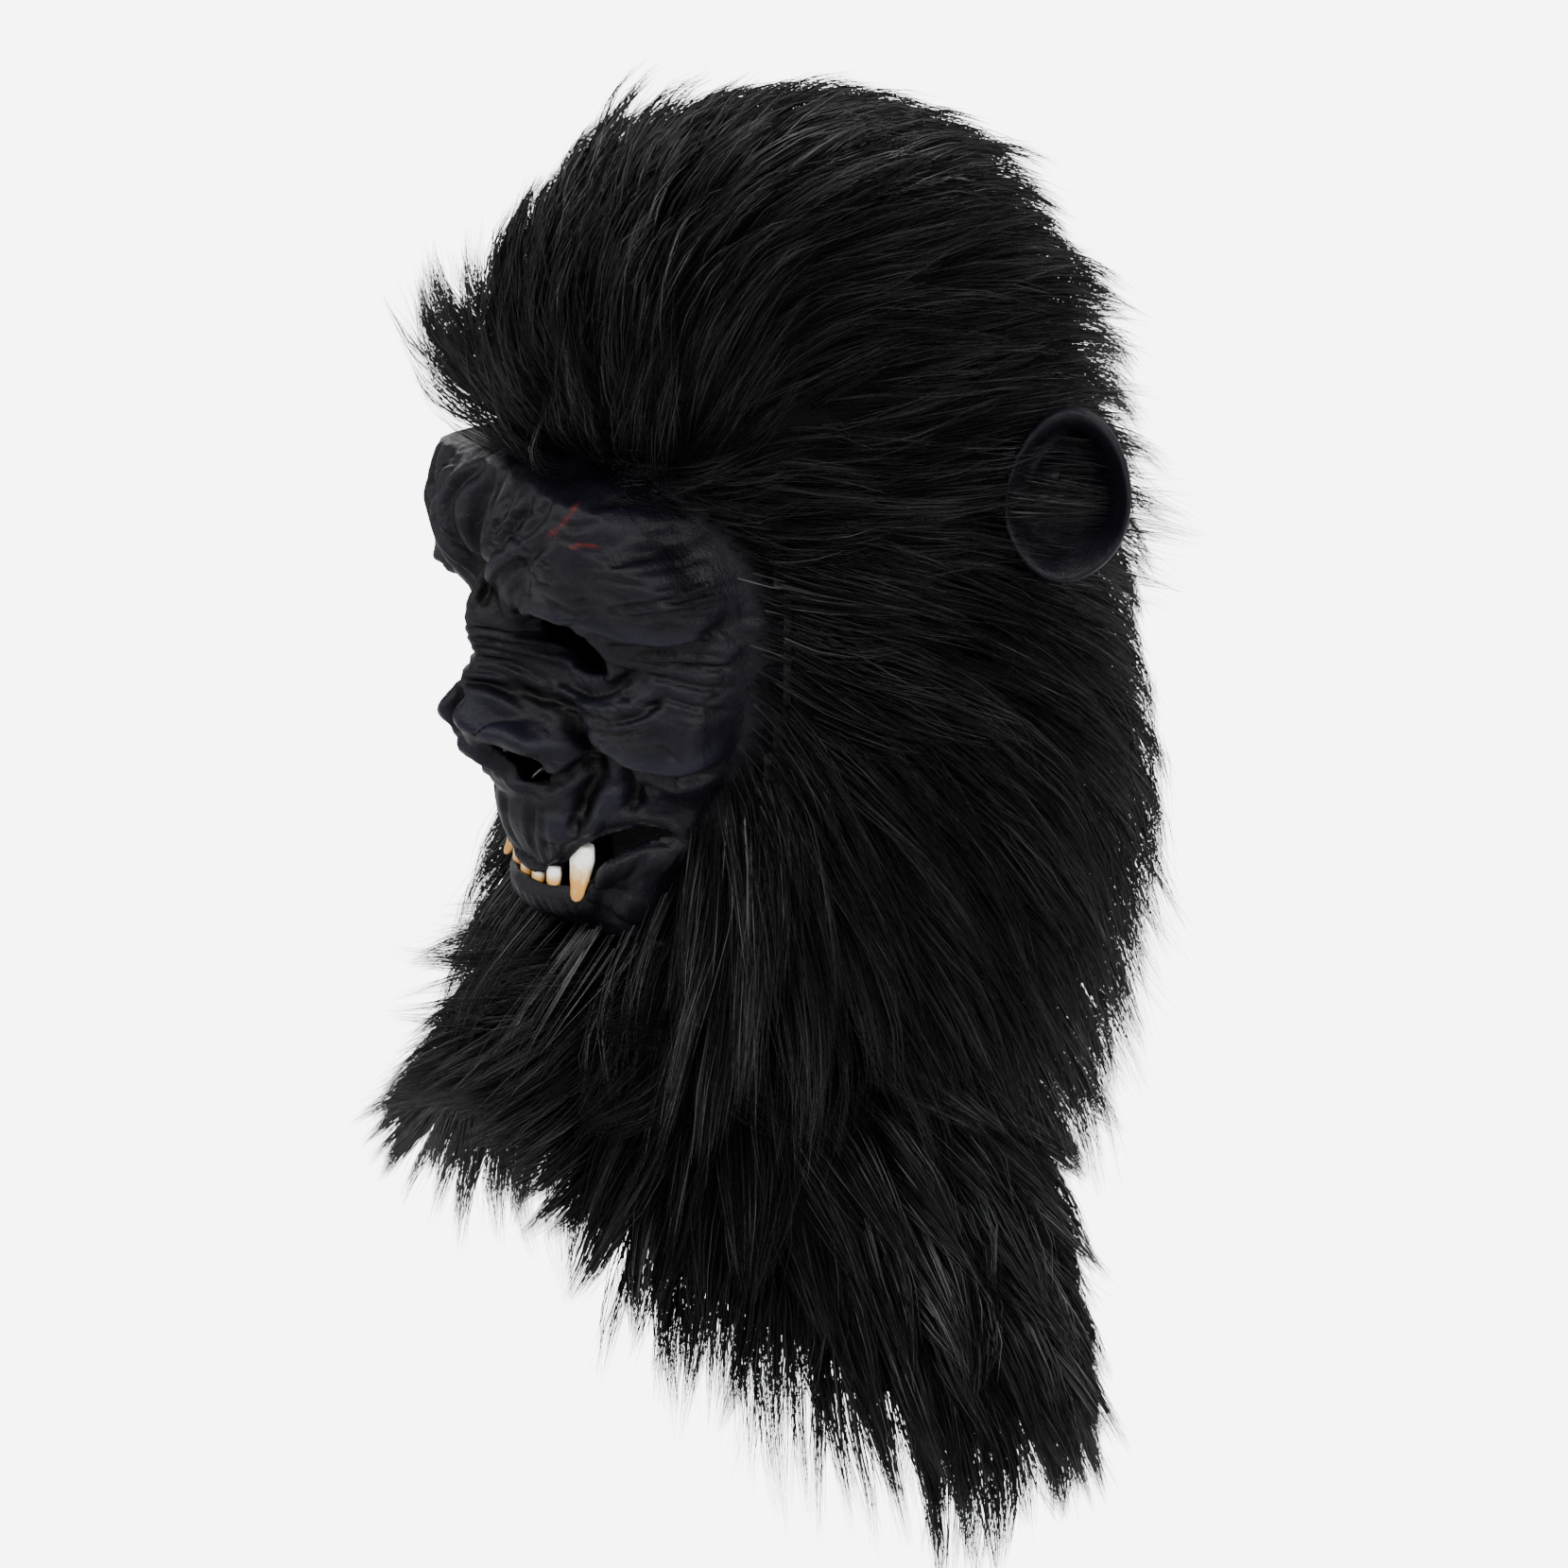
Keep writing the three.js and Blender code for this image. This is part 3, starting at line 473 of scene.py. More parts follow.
def tooth_material(ivory, amber):
    """White paint at the root with a ragged edge, ivory below it and amber towards the tip."""
    material, tree, shader = new_material("painted tooth", ivory, 0.28)
    coords = add(tree, "ShaderNodeTexCoord").outputs["Object"]
    down = add(tree, "ShaderNodeAttribute", attribute_name="down").outputs["Fac"]
    stretched = add(tree, "ShaderNodeMapping", {"Vector": coords, "Scale": (1.0, 1.0, 0.25)})
    fine_noise = {"Vector": stretched.outputs["Vector"], "Scale": 900.0, "Detail": 2.0}
    streaks = add(tree, "ShaderNodeTexNoise", fine_noise).outputs["Fac"]
    sum_of = {0: streaks, 1: 0.34, 2: down}
    ragged = add(tree, "ShaderNodeMath", sum_of, operation="MULTIPLY_ADD").outputs[0]
    colour = ramp(
        tree,
        ragged,
        (0.0, (0.09, 0.07, 0.05)),
        (0.2, (0.86, 0.84, 0.78)),
        (0.46, (0.88, 0.86, 0.8)),
        (0.56, ivory),
        (0.78, amber),
        (1.0, tuple(c * 0.8 for c in amber)),
    )
    tree.links.new(colour, shader.inputs["Base Color"])
    bump = add(tree, "ShaderNodeBump", {"Height": streaks, "Strength": 0.2, "Distance": 0.0005})
    tree.links.new(bump.outputs["Normal"], shader.inputs["Normal"])
    return material


def fur_material(colour, glint):
    """Black pile with a soft sheen. Each strand is a little lighter or darker at random and lighter towards
    the tip: the lightest strands are painted glints and the darker roots painted shade.
    """
    material, tree, shader = new_material("black pile", colour, 0.42)
    shader.inputs["Specular IOR Level"].default_value = 0.27
    tone_and_glint = add(tree, "ShaderNodeAttribute", attribute_name="tone_and_glint").outputs["Fac"]
    # Painted shade and painted glints: the darkest strands and roots take 0.6 of the colour, the lightest tips
    # take the glint colour.
    shade = ramp(tree, tone_and_glint, (0.0, tuple(c * 0.6 for c in colour)), (0.75, colour), (1.0, glint))
    tree.links.new(shade, shader.inputs["Base Color"])
    return material


def cloth_material(colour):
    """Knitted backing: small ribs both ways."""
    material, tree, shader = new_material("knitted backing", colour, 0.95)
    coords = add(tree, "ShaderNodeTexCoord").outputs["Object"]
    waves = {"Vector": coords, "Scale": 260.0, "Distortion": 1.5}
    ribs = add(tree, "ShaderNodeTexWave", waves, bands_direction="Z")
    bump = add(tree, "ShaderNodeBump", {"Height": ribs.outputs["Fac"], "Strength": 0.3, "Distance": 0.0006})
    tree.links.new(bump.outputs["Normal"], shader.inputs["Normal"])
    return material


# The latex face

# The swellings and hollows of the face, close to those of the solids. across and wide are shares of the head's
# half width, down and tall of JAW_DROP, ahead and aside of MUZZLE_DEPTH.
MUZZLE_DEPTH = 34.0
FACE_STANDOFF = 7.0
FACE_TUCK = 3.0
EDGE_START = 9.0
EDGE_EASE = 16.0
FACE_FORMS = (
    # name, across, down, wide, tall, ahead, aside, power
    ("brow", 0.5, 0.435, 0.46, 0.16, 0.7, 0.12, 1.0),
    ("brow_end", 0.86, 0.46, 0.24, 0.08, 0.18, 0.2, 1.5),
    ("glabella", 0.0, 0.45, 0.36, 0.19, 0.5, 0.0, 1.3),
    ("nose_root", 0.0, 0.6, 0.24, 0.13, 0.5, 0.0, 1.4),
    ("eye_pit", 0.35, 0.562, 0.22, 0.058, -0.32, 0.0, 1.2),
    ("eye_bag", 0.48, 0.645, 0.3, 0.045, 0.1, 0.06, 1.5),
    ("cheek", 0.66, 0.67, 0.34, 0.11, 0.2, 0.18, 1.4),
    ("cheek_fold", 0.52, 0.75, 0.24, 0.06, -0.2, 0.0, 1.3),
    ("muzzle", 0.0, 0.8, 0.52, 0.165, 0.7, 0.0, 1.25),
    ("jaw_side", 0.7, 0.84, 0.28, 0.11, -0.24, 0.0, 1.2),
    ("nose", 0.0, 0.665, 0.4, 0.075, 0.62, 0.0, 1.2),
    ("nose_wing", 0.24, 0.7, 0.15, 0.04, 0.26, 0.06, 1.0),
    ("nose_base", 0.0, 0.737, 0.3, 0.04, 0.16, 0.0, 1.0),
    ("nose_groove", 0.0, 0.665, 0.07, 0.05, -0.14, 0.0, 1.2),
    ("upper_lip", 0.2, 0.84, 0.34, 0.07, 0.1, 0.0, 1.2),
    ("lip_corner", 0.49, 0.88, 0.19, 0.06, 0.24, 0.0, 1.0),
    ("lower_lip", 0.0, 0.928, 0.58, 0.062, 0.4, 0.0, 0.8),
)

# Mouth: the upper and the lower lip's edges, as drops at each place across.
LIP_LINES = {
    "across": (0.0, 8.0, 15.0, 21.0, 27.0, 33.0, 39.0, 44.0, 48.0),
    "upper": (261.5, 260.5, 257.5, 253.0, 245.5, 240.5, 237.0, 237.5, 240.5),
    "lower": (264.0, 264.0, 263.5, 262.0, 258.5, 250.0, 242.5, 240.2, 240.6),
}
# Holes through the latex: place across and down, half sizes and the turn of the long way, in degrees
EYE = {"across": 31.2, "drop": 163.8, "half_width": 14.2, "half_height": 12.8, "tilt": -14.0}
NOSTRIL = {"across": 15.0, "drop": 214.5, "half_width": 5.8, "half_height": 8.8, "tilt": -24.0}

# Folds of the face as brush strokes: "x, drop" points in millimetres from the middle of the face and from the
# crown. depth is below 0 for a crease and above 0 for a ridge.
FOLDS = (
    # path, depth, width
    # furrows that run down the brow and meet at the root of the nose
    (((0, 103), (2, 117), (1, 130), (3, 146), (6, 160)), -3.8, 2.0),
    (((5, 104), (13, 117), (9, 133), (3, 147), (5, 157)), -2.8, 1.6),
    (((19, 103), (20, 116), (15, 130), (6, 145), (6, 158)), -1.8, 1.4),
    (((30, 103), (28, 111), (22, 124), (11, 137), (6, 149), (7, 159)), -2.6, 1.7),
    (((46, 116), (34, 126), (28, 131), (20, 138), (9, 149), (9, 162)), -2.8, 1.9),
    (((34, 131), (31, 138), (22, 149), (12, 161)), -1.9, 1.6),
    (((40, 121), (34, 130), (27, 139), (18, 150)), -1.2, 1.2),
    (((38, 104), (37, 112), (31, 122)), -1.6, 1.6),
    (((12, 104), (17, 118), (12, 132), (5, 146)), 1.0, 1.8),
    (((24, 104), (23, 118), (14, 134), (6, 150)), 1.2, 2.2),
    (((38, 118), (28, 127), (17, 138), (8, 152)), 1.2, 2.2),
    (((57, 127), (61, 124), (66, 124)), -1.3, 1.0),
    (((54, 145), (60, 141), (68, 138), (78, 139.5)), -1.9, 1.1),
    (((60, 147), (66, 143), (75, 143)), -1.3, 1.0),
    (((48, 146), (56, 143)), -0.9, 1.0),
    (((49, 107), (56, 104), (62, 107)), -1.0, 1.2),
    (((52, 131), (60, 131), (70, 133)), -0.9, 1.2),
    # the brow's overhang above the eye
    (((12, 152), (22, 149.5), (38, 148), (50, 150.5), (62, 154.5), (74, 154)), 2.0, 3.0),
    (((13, 161), (20, 160)), -1.6, 1.8),
    (((50, 160), (60, 160.5), (72, 158)), -2.8, 2.2),
    # the rough rim at the temple
    (((70, 114), (74, 122), (78, 130), (79, 137), (77, 143)), 3.0, 2.6),
    (((77, 143), (76, 149), (70, 157)), -3.4, 2.4),
    (((81, 142), (82, 152), (78, 161), (70, 165)), 2.6, 3.2),
    (((65, 116), (69, 126), (72, 138)), -2.0, 3.0),
    # the lower lid and the bags under the eye
    (((17, 168), (21, 177), (29, 180), (38, 177), (47, 170)), 1.8, 1.9),
    (((15, 175), (22, 182.5), (31, 184), (41, 180), (50, 173), (56, 168)), -2.6, 1.5),
    (((15, 180), (24, 188), (37, 191), (50, 187), (58, 180), (62, 173)), -2.4, 1.6),
    (((20, 190), (30, 194), (44, 194), (56, 190)), -2.0, 1.5),
    (((16, 178), (24, 185.5), (36, 187), (48, 183), (56, 177)), 1.4, 1.6),
    (((22, 189), (34, 192), (48, 190), (58, 185)), 1.2, 1.6),
    # crow's feet
    (((52, 164), (61, 162.5), (72, 163)), -1.8, 1.1),
    (((54, 167), (63, 167), (74, 169)), -2.0, 1.1),
    (((53, 171), (63, 173), (73, 178)), -1.7, 1.2),
    (((58, 178), (66, 182), (73, 188)), -1.4, 1.2),
    # the crease from the side of the nose round under the cheek
    (
        (
            (9, 179), (18, 186), (27, 192), (31, 199), (35, 205), (42, 209.5),
            (53, 211.5), (64, 210), (72, 204), (76, 195), (79, 184),
        ),
        -3.6,
        2.8,
    ),
    (((28, 187), (37, 199), (48, 205), (60, 206), (69, 200), (74, 190)), 2.6, 4.4),
    (((34, 203), (44, 206.5), (56, 208)), -1.4, 1.0),
    # nose: its root meets the bridge in a step, a groove splits the tip, a rim frames each nostril
    (((0, 183), (8, 183.5), (15, 186.5), (22, 192)), -2.6, 2.0),
    (((0, 186), (1, 195), (2, 204)), -4.0, 2.4),
    (((6, 188), (5, 194), (9, 199), (15, 200), (21, 203), (27, 208)), 3.0, 2.6),
    (((27, 208), (22, 215), (14, 221), (6, 225)), 1.6, 2.0),
    (((24, 192), (30, 201), (31, 210), (26, 217)), -3.4, 2.4),
    (((3, 206), (3, 216), (5, 224)), 1.8, 2.0),
    # folds that spread from the nose over the muzzle
    (((34, 209), (25, 217), (16, 226)), -3.0, 1.7),
    (((33, 210), (29, 222), (27, 233), (26, 244)), -4.2, 1.9),
    (((38, 210), (38, 220), (37, 232)), -3.8, 1.8),
    (((28, 226), (29, 238)), -1.4, 1.0),
    (((14, 228), (13, 240), (10, 252)), -1.2, 1.4),
    (((18, 229), (18, 241), (15, 252)), -0.8, 1.0),
    (((45, 210.5), (57, 213), (68, 212)), -2.0, 1.4),
    (((0, 228), (0, 240), (0, 256)), -1.6, 2.4),
    (((21, 232), (20, 246)), 1.8, 4.6),
    (((33, 220), (32, 236)), 2.2, 2.6),
    (((44, 218), (43, 232)), 2.0, 4.4),
)
# The two painted scratches on the left brow
SCRATCHES = (
    ((40.5, 119), (43.5, 115.5), (46.3, 110.5), (47, 105.5)),
    ((47.5, 121.5), (51, 119.8), (55.5, 120)),
)
# The middle of the rough skin at the temple
ROUGH_TEMPLE = ((79, 118), (83, 130), (80, 146), (73, 156))
# Where the hair leaves the face bare: "x, drop" points from the forehead round to the chin
HAIRLINE = (
    (0, 102), (24, 102), (44, 104), (60, 110), (71, 119), (77, 134), (78, 159), (75, 184),
    (71, 203), (65, 216), (53, 238), (46, 254), (36, 268), (24, 276), (12, 280), (0, 282),
)


def face_turn(across, drop):
    edge = np.maximum(opening_turn(drop), 50 * DEGREE) + 7 * DEGREE
    return across * edge


def base_turn(x, drop):
    """The angle round the head at which the hood's line lies x millimetres from the middle."""
    x, drop = np.asarray(x, float), np.asarray(drop, float)
    low, high = np.zeros(np.broadcast(x, drop).shape), np.full(np.broadcast(x, drop).shape, math.pi / 2)
    section = head_section(drop)
    for _ in range(26):
        middle = (low + high) / 2
        short = reach(middle, section, HEAD_POWER) * np.sin(middle) < np.abs(x)
        low, high = np.where(short, middle, low), np.where(short, high, middle)
    return (low + high) / 2


def curve_through(points, count=8):
    """A smooth path through a few points."""
    p = np.array(points, float)
    if len(p) < 3:
        return np.linspace(p[0], p[-1], count)
    padded = np.concatenate([[2 * p[0] - p[1]], p, [2 * p[-1] - p[-2]]])
    out = []
    for a, b, c, d in zip(padded[:-3], padded[1:-2], padded[2:-1], padded[3:]):
        t = np.linspace(0, 1, count, endpoint=False)[:, None]
        out.append(
            0.5 * (2 * b + (c - a) * t + (2 * a - 5 * b + 4 * c - d) * t**2 + (3 * b - a - 3 * c + d) * t**3)
        )
    return np.concatenate([*out, p[-1:]])


def flat_path(points):
    """A path of (x, drop) points as (mm round the head, drop)."""
    path = curve_through(points)
    turn = base_turn(path[:, 0], path[:, 1]) * np.sign(path[:, 0] + 1e-9)
    return np.stack([turn * HEAD_HALF_WIDTH, path[:, 1]], axis=-1)


def hair_room(turn, drop):
    """How far inside the bare face a place lies, below 0 under the hair."""
    path = flat_path(HAIRLINE)
    s = around(turn) * HEAD_HALF_WIDTH
    far, _ = path_distance(s, drop, path)
    within = np.zeros(s.shape, bool)
    for a, b in zip(path[:-1], path[1:]):
        if abs(b[1] - a[1]) > 1e-9:
            crosses = (drop > min(a[1], b[1])) & (drop <= max(a[1], b[1]))
            within ^= crosses & (s < a[0] + (drop - a[1]) * (b[0] - a[0]) / (b[1] - a[1]))
    return np.where(within, far, -far)


def oval_room(s, drop, hole):
    """Distance outside an oval hole, below 0 within it."""
    centre = float(base_turn(hole["across"], hole["drop"])) * HEAD_HALF_WIDTH
    a = hole["tilt"] * DEGREE
    u, v = s - centre, drop - hole["drop"]
    u, v = u * math.cos(a) + v * math.sin(a), v * math.cos(a) - u * math.sin(a)
    q = (np.abs(u / hole["half_width"]) ** 1.8 + np.abs(v / hole["half_height"]) ** 2.2) ** (1 / 2)
    return (q - 1) * min(hole["half_width"], hole["half_height"])


def mouth_room(x, drop):
    """Distance outside the gap between the lips, below 0 within it."""
    ax = np.clip(np.abs(x), 0, LIP_LINES["across"][-1])
    upper = along(LIP_LINES, "across", "upper", ax)
    lower = along(LIP_LINES, "across", "lower", ax)
    past = np.maximum(np.abs(x) - LIP_LINES["across"][-1], 0)
    return np.maximum(np.maximum(upper - drop, drop - lower), -50) + past


def hole_room(turn, drop):
    """Distance outside the nearest hole of the face, below 0 within one."""
    s = np.abs(turn) * HEAD_HALF_WIDTH
    x = reach(turn, head_section(drop), HEAD_POWER) * np.sin(turn)
    rooms = [oval_room(s, drop, EYE), oval_room(s, drop, NOSTRIL), mouth_room(x, drop)]
    return np.minimum.reduce(rooms)


def face_forms(turn, drop):
    """The face's outside with its main forms, before any folds."""
    base = reach(turn, head_section(drop), HEAD_POWER)
    top = smooth((124 - drop) / 14) * smooth((0.85 - around(turn)) / 0.3)
    inside = smooth((edge_room(turn, drop) - EDGE_START * (1 - 0.6 * top)) / (EDGE_EASE * (1 - 0.5 * top)))
    inside = inside * smooth((JAW_DROP - EDGE_START / 2 - drop) / (EDGE_EASE / 2))
    p = polar(turn, base + mix(-FACE_TUCK, FACE_STANDOFF, inside), drop)
    x = np.abs(p[..., 0])
    ahead, aside = 0.0, 0.0
    for _, across, down, wide, tall, forward, outward, power in FACE_FORMS:
        far = ((x / HEAD_HALF_WIDTH - across) / wide) ** 2 + ((drop / JAW_DROP - down) / tall) ** 2
        swell = np.clip(1 - far, 0, 1) ** power
        ahead = ahead + forward * MUZZLE_DEPTH * swell
        aside = aside + outward * MUZZLE_DEPTH * swell
    p[..., 1] -= ahead * inside
    p[..., 0] += np.sign(p[..., 0]) * aside * inside
    return p, inside


def fold_height(turn, drop):
    """How far the folds raise or sink each place, in millimetres."""
    s = turn * HEAD_HALF_WIDTH
    mirrored_s = np.abs(s)
    height = np.zeros(s.shape)

    def stroke(place_s, path, depth, width, ease=0.22):
        nonlocal height
        low, high = path.min(axis=0) - 4 * width, path.max(axis=0) + 4 * width
        near = (place_s > low[0]) & (place_s < high[0]) & (drop > low[1]) & (drop < high[1])
        if not near.any():
            return
        far, where = path_distance(place_s[near], drop[near], path)
        taper = smooth(where / ease) * smooth((1 - where) / ease)
        profile = bell(far, 0, width)
        if depth < 0:
            profile = profile - 0.2 * bell(far, 1.9 * width, width)
        height[near] += depth * profile * taper

    for path, depth, width in FOLDS:
        stroke(mirrored_s, flat_path(path), depth, width)
    rng = np.random.default_rng(41)
    # wrinkles across the root of the nose, bending down to the inner corners of the eyes
    for i in range(6):
        level = 163.0 + 3.9 * i
        path = ((0, level), (8, level + 0.4), (13, level + 2.0 + 0.5 * i), (19, level + 6 + 1.4 * i))
        stroke(mirrored_s, flat_path(path), -2.2, 1.15)
    # short random skin folds over brow, bags and cheeks
    for _ in range(210):
        x, level = rng.uniform(18, 76), rng.uniform(104, 200)
        lean, half = rng.normal(0.25, 0.5), rng.uniform(3, 7)
        middle = (x, level + rng.normal(0, 0.8))
        path = ((x - half, level - lean * half), middle, (x + half, level + lean * half))
        side = rng.choice((-1, 1))
        stroke(side * s, flat_path(path), -rng.uniform(0.35, 1.1), rng.uniform(0.7, 1.2), 0.4)
    # fine lines round the lips
    for i in range(44):
        x = -48 + 96 * (i + rng.uniform(-0.3, 0.3)) / 43
        lower = float(along(LIP_LINES, "across", "lower", abs(x)))
        path = ((x, lower + 2), (x * 0.97, lower + 9), (x * 0.9, lower + 17))
        stroke(s, flat_path(path), -rng.uniform(0.5, 1.1), rng.uniform(0.8, 1.2), 0.3)
    for i in range(26):
        x = -40 + 80 * (i + rng.uniform(-0.3, 0.3)) / 25
        upper = float(along(LIP_LINES, "across", "upper", abs(x)))
        path = ((x, upper - 1), (x * 0.98, upper - 7), (x * 0.95, upper - rng.uniform(10, 18)))
        stroke(s, flat_path(path), -rng.uniform(0.25, 0.7), rng.uniform(0.8, 1.3), 0.3)
    return height


def equal_spacing(lengths, count):
    """Positions from 0 to 1 that cut a line with these lengths between samples into equal steps."""
    run = np.concatenate([[0], np.cumsum(lengths)])
    return np.interp(np.linspace(0, run[-1], count), run, np.linspace(0, 1, len(run)))


def make_latex_face(style, material):
    columns, rows = style.face_columns, style.face_rows
    top, bottom = OPENING_TOP - 10, JAW_DROP + 9
    trial_u, trial_v = np.linspace(-1, 1, 121), np.linspace(top, bottom, 121)
    v, u = np.meshgrid(trial_v, trial_u, indexing="ij")
    p, _ = face_forms(face_turn(u, v), v)
    step_u = np.linalg.norm(np.diff(p, axis=1), axis=-1).mean(axis=0)
    step_v = np.linalg.norm(np.diff(p, axis=0), axis=-1).mean(axis=1)
    u = equal_spacing((step_u + step_u[::-1]) / 2, columns) * 2 - 1
    v = top + equal_spacing(step_v, rows) * (bottom - top)
    drop, across = np.meshgrid(v, u, indexing="ij")
    turn = face_turn(across, drop)

    # Places inside a hole, next to its edge, move out onto the edge.
    within = hole_room(turn, drop) < 0
    outside = ~within
    touching = np.zeros_like(within)
    for shift in ((0, 1), (0, -1), (1, 0), (-1, 0), (1, 1), (1, -1), (-1, 1), (-1, -1)):
        touching |= np.roll(outside, shift, axis=(0, 1))
    beside = within & touching
    for _ in range(4):
        h = hole_room(turn, drop)
        step = 0.2
        slope_s = (hole_room(turn + step / HEAD_HALF_WIDTH, drop) - h) / step
        slope_d = (hole_room(turn, drop + step) - h) / step
        scale = np.where(beside, -h / np.maximum(slope_s**2 + slope_d**2, 0.05), 0)
        turn = turn + np.clip(scale * slope_s, -2, 2) / HEAD_HALF_WIDTH
        drop = drop + np.clip(scale * slope_d, -2, 2)
    kept = outside | beside

    p, inside = face_forms(turn, drop)
    normal = grid_normals(p)
    folds = fold_height(turn, drop) * smooth(inside * 1.6)
    lumps = noise(p, 16.0, 3, 3) * 0.6 + noise(p, 5.0, 2, 9) * 0.26
    folds = folds + lumps * smooth(inside * 2)
    s = np.abs(turn) * HEAD_HALF_WIDTH
    temple, _ = path_distance(s, drop, flat_path(ROUGH_TEMPLE))
    folds = folds + noise(p, 3.6, 2, 21) * 1.1 * bell(temple, 0, 7)

    h = np.maximum(hole_room(turn, drop), 0)
    x = np.abs(p[..., 0])
    lower = along(LIP_LINES, "across", "lower", np.clip(x, 0, 50))
    upper = along(LIP_LINES, "across", "upper", np.clip(x, 0, 50))
    mouth = np.maximum(mouth_room(x, drop), 0)
    near_mouth = np.exp(-mouth / 6)
    under = smooth((drop - (lower + upper) / 2) / 2 + 0.5)
    lids = 1 - near_mouth
    roll = -2.6 * np.exp(-h / 1.6) * lids + 1.5 * bell(h, 3.2, 1.8) * lids
    lips = -(2.2 - 1.2 * under) * bell(mouth, 0, 2.0)
    lips = lips + 4.2 * under * bell(mouth, 8, 6.5)
    lips = lips + 1.0 * (1 - under) * bell(mouth, 4, 2.5)
    lips = lips * smooth((60 - x) / 8) * smooth((26 - mouth) / 8)
    height = folds + lips * inside + roll * inside
    p = p + normal * height[..., None]

    inner_normal = grid_normals(p)
    for _ in range(6):
        inner_normal[1:-1, 1:-1] = unit(
            inner_normal[1:-1, 1:-1]
            + inner_normal[:-2, 1:-1]
            + inner_normal[2:, 1:-1]
            + inner_normal[1:-1, :-2]
            + inner_normal[1:-1, 2:]
        )
    inner = p - inner_normal * LATEX
    faces = grid_faces(rows, columns)
    flat_kept = kept.ravel()
    hole = within.ravel()
    whole = flat_kept[faces].all(axis=-1) & ~hole[faces].all(axis=-1)
    points, quads, used = shell(p.reshape(-1, 3), inner.reshape(-1, 3), faces[whole])
    # How far the folds rise or sink, which paints shade into the creases and a highlight onto the ridges.
    relief_shade = np.clip(0.5 + folds / 6, 0, 1).ravel()
    mark = np.zeros(p.shape[:2])
    for path in SCRATCHES:
        far, where = path_distance(turn * HEAD_HALF_WIDTH, drop, flat_path(path))
        ragged = 0.55 + 0.3 * noise(p, 2.0, 2, 5)
        ends = smooth(where * 6) * smooth((1 - where) * 6)
        mark = np.maximum(mark, smooth((1.2 * ragged - far) / 0.5) * ends)
    both = np.concatenate([relief_shade, relief_shade])[used]
    marks = np.concatenate([mark.ravel(), np.zeros(mark.size)])[used]
    obj = mesh_object("latex_face_skin", points, quads, material, floats={"relief_shade": both, "scratch": marks})
    place(obj, "latex", "latex_face")


# Teeth


TEETH = ("canine_left", "canine_right", "incisor_1", "incisor_2", "incisor_3", "incisor_4")
CANINE_SPLAY = (-2.2, 3.0)  # how far a canine's root and tip lie outward of its middle, in mm


def box_of(node):
    """The corners of a node's box, in millimetres."""
    return [np.array(corner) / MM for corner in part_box(node)]


def make_teeth(material):
    for node in TEETH:
        low, high = box_of(node)
        canine = node.startswith("canine")
        sides, rings = 28, 26
        middle = (low + high) / 2
        width = (high[0] - low[0]) / 2
        length = high[2] - low[2]
        lean = math.atan2(middle[0], -middle[1])
        t = np.linspace(0, 1, rings)[:, None]
        a = np.linspace(0, 2 * math.pi, sides, endpoint=False)[None, :]
        if canine:
            belly = np.interp(t, (0, 0.25, 0.6, 0.85, 1), (0.88, 1.0, 0.78, 0.5, 0.0))
        else:
            belly = np.interp(t, (0, 0.3, 0.7, 0.9, 1), (0.8, 1.0, 0.95, 0.66, 0.0))
        tip = np.sqrt(np.clip(1 - ((t - 0.78) / 0.22).clip(0, 1) ** 2, 0, 1))
        belly = np.where(t > 0.78, np.interp(0.78, t.ravel(), belly.ravel()) * tip, belly)
        ridge = 1 + 0.035 * np.cos(5 * a + 0.6) * (1 - t)
        u = width * belly * np.cos(a) * ridge
        w = width * 0.62 * belly * np.sin(a) * ridge
        y = mix(high[1] - width * 0.45, low[1] + width * 0.45, t**1.3)
        splay = mix(*CANINE_SPLAY, t) * np.sign(middle[0]) if canine else 0
        x = middle[0] + splay + u * math.cos(lean) - w * math.sin(lean)
        y = y + u * math.sin(lean) + w * math.cos(lean)
        z = high[2] - length * t + 0 * a
        points = np.stack([x, y, z], axis=-1).reshape(-1, 3)
        faces = grid_faces(rings, sides, closed=True).reshape(-1, 4)
        top = len(points)
        points = np.concatenate([points, [[middle[0], high[1] - width * 0.45, high[2]]]])
        ring = np.arange(sides)
        cap = np.stack([np.full(sides, top), ring, (ring + 1) % sides], axis=-1)
        down = np.concatenate([(t + 0 * a).ravel(), [0]])
        obj = mesh_object(node + "_enamel", points, [faces, cap], material, floats={"down": down})
        place(obj, "tooth", node)


# Ears

EAR_ROWS = {
    # far goes from the middle to the edge. front and back are heights, as shares of the ear's width.
    "far": (0.0, 0.2, 0.4, 0.55, 0.68, 0.78, 0.86, 0.93, 0.97, 1.0),
    "front": (-0.3, -0.3, -0.28, -0.22, -0.12, -0.02, 0.05, 0.09, 0.085, 0.05),
    "back": (-0.37, -0.37, -0.35, -0.3, -0.21, -0.12, -0.06, -0.02, 0.0, 0.02),
}


EAR_WIDTH = 46.0
EAR_FACING = 55 * DEGREE  # how far each ear's front turns aside from the face
STEM_ROOT = (70.0, 45.0)  # where the left ear's stem starts, across and back
STEM_RADII = (11.0, 9.0)


